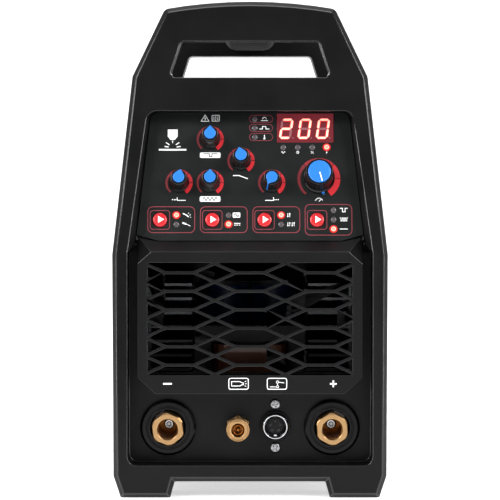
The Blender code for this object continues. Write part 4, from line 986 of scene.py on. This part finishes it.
def power_board():
    """The power board and its four sleeved capacitors."""
    low, high = [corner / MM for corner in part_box("power_board")]
    thick, radius = 1.6, 17.5
    flat = shift(0.0, 0.0, low.z)
    corners = rounded_box(((low.x + high.x) / 2, (low.y + high.y) / 2), (high.x - low.x, high.y - low.y), 3.0)
    sheet = plate(corners, 0.0, thick)
    piece("power_board_sheet", sheet, BOARD, flat, nodes=["power_board"])
    last = FRONT_Y + 322.0
    for i, (side, row) in enumerate(((-1, 0), (1, 0), (-1, 1), (1, 1))):
        place = shift(side * 17.9, last - row * 35.8, low.z + thick)
        top = high.z - low.z - thick
        groove = radius - 0.5
        sleeve = [(0.0, 0.0), (radius, 0.0), (radius, 2.0), (groove, 2.6), (groove, 3.8), (radius, 4.4)]
        rim = [(radius, -0.8), (radius - 0.6, -0.1), (radius - 1.8, 0.0), (radius - 2.0, -0.5), (0.0, -0.5)]
        piece(f"capacitor_{i + 1}", turned(sleeve + lifted(rim, top), 64), SLEEVE, place)
        cap = lifted([(0.0, -0.6), (radius - 2.1, -0.6), (radius - 2.1, -0.3), (0.0, -0.25)], top)
        piece(f"capacitor_{i + 1}_top", turned(cap, 48), ALUMINIUM, place)


def windings():
    """Turns of wire round the transformer's middle leg and round the starting coil's ring."""
    low, high = [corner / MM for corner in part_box("transformer_winding")]
    dress("transformer_winding", WINDING)
    centre = (low + high) / 2
    wire, turns = 1.5, []
    size = (high.x - low.x - 0.2, high.y - low.y - 0.2)
    count = int((high.z - low.z) / (2 * wire))
    for i in range(count):
        z = low.z + wire + i * (high.z - low.z - 2 * wire) / (count - 1)
        path = rounded_box(centre[:2], (size[0] - 2 * wire, size[1] - 2 * wire), 8.0 - wire, 4)
        turns.append(wire_loop([(x, y, z) for x, y in path], wire, 8))
    piece("transformer_turns", together(turns), WINDING, Matrix.Identity(4))

    low, high = [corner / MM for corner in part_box("starting_coil")]
    centre, ring, wound = (low + high) / 2, 22.0, 8.2
    dress("starting_coil", FERRITE)
    path, loops, steps = [], 34, 14
    for i in range(loops * steps):
        around, twist = 2 * pi * i / (loops * steps), 2 * pi * i / steps
        reach = ring + wound * cos(twist)
        path.append((reach * cos(around), wound * sin(twist), reach * sin(around)))
    piece("starting_coil_turns", wire_loop(path, 0.9, 6), WINDING, shift(*centre),
          nodes=["starting_coil"])
    core = circle((ring, 0.0), 6.9, 24)
    piece("starting_coil_core", turned(core, 72, closed=True), FERRITE, shift(*centre) @ spin(90, "X"))


def wire_loop(path, radius, sides):
    """A round wire along a closed path."""
    loops = []
    for i, here in enumerate(path):
        along = (Vector(path[(i + 1) % len(path)]) - Vector(path[i - 1])).normalized()
        aside = Vector((0.0, 0.0, 1.0)) if abs(along.z) < 0.9 else Vector((0.0, 1.0, 0.0))
        across = along.cross(aside).normalized()
        up = along.cross(across)
        loops.append([Vector(here) + (across * cos(a) + up * sin(a)) * radius
                      for a in [2 * pi * k / sides for k in range(sides)]])
    return skin(loops, closed=True)


def inside():
    dress("control_board", BOARD)
    dress("display_module", BLACK)
    for side in ("left", "right"):
        dress(f"heatsink_{side}", ALUMINIUM, width=0.2)
    for label in ("minus", "plus"):
        dress(f"output_bar_{label}", COPPER, width=0.3)
    dress("transformer_core", FERRITE, width=0.5)
    dress("gas_valve", BRASS, width=0.4)
    dress("gas_hose", HOSE)
    dress("fan_housing", BLACK, width=0.4)
    power_board()
    windings()


case()
for knob in SMALL_KNOBS:
    small_knob(knob)
current_knob()
for label in GROUPS:
    button(label)
lamps()
display()
rings()
panel_print()
grille_print()
output_socket("minus", 8.0)
output_socket("plus", 3.0)
gas_outlet()
torch_socket()
cover_screws()
fan_guard()
fan_rotor()
mains_switch()
cable_gland()
gas_inlet()
inside()


# ---- stage

def aimed(obj, at, target):
    obj.location = at
    obj.rotation_euler = (Vector(target) - Vector(at)).to_track_quat("-Z", "Y").to_euler()


def area_light(name, at, size, power):
    data = bpy.data.lights.new(name, "AREA")
    data.shape, data.size, data.size_y, data.energy = "RECTANGLE", *size, power
    aimed(linked(name, data), at, (0.0, 0.0, 0.17))


def stage():
    """A pale floor that curves up into a backdrop, soft lights and the camera."""
    half, back, radius, height = 6.0, 3.0, 1.2, 4.0
    section = [(-half, 0.0)] + [(back + y, radius + z) for y, z in arc((0.0, 0.0), radius, -90, 0, 12)]
    section.append((back + radius, height))
    bm = bmesh.new()
    lines = [[bm.verts.new((x, y, z)) for y, z in section] for x in (-half, half)]
    for i in range(len(section) - 1):
        bm.faces.new((lines[0][i], lines[1][i], lines[1][i + 1], lines[0][i + 1]))
    floor = new_object("backdrop", bm)
    floor.data.shade_smooth()
    floor.data.materials.append(finish("backdrop", "f4f4f4", 0.9, vary=0.01, grain=20.0, depth=0.0,
                                       glow=("ffffff", 0.6)))

    world = bpy.data.worlds.new("studio")
    world.use_nodes = True
    background = world.node_tree.nodes["Background"].inputs
    background["Color"].default_value = (1.0, 1.0, 1.0, 1.0)
    background["Strength"].default_value = 0.25
    bpy.context.scene.world = world

    area_light("key_left", (-1.7, -1.9, 1.5), (1.0, 1.0), 45)
    area_light("key_right", (1.7, -1.9, 1.5), (1.0, 1.0), 45)
    area_light("side_left", (-1.5, -0.3, 0.6), (0.3, 1.6), 30)
    area_light("side_right", (1.5, -0.3, 0.6), (0.3, 1.6), 30)
    area_light("top", (0.0, 0.0, 1.9), (1.4, 1.4), 26)

    data = bpy.data.cameras.new("camera")
    data.lens, data.sensor_width = 208.6, 36.0
    camera = linked("camera", data)
    aimed(camera, (0.0, -2.178, 0.2573), (0.0, -0.210, 0.1697))
    bpy.context.scene.camera = camera
    bpy.context.scene.view_settings.view_transform = "Standard"


stage()
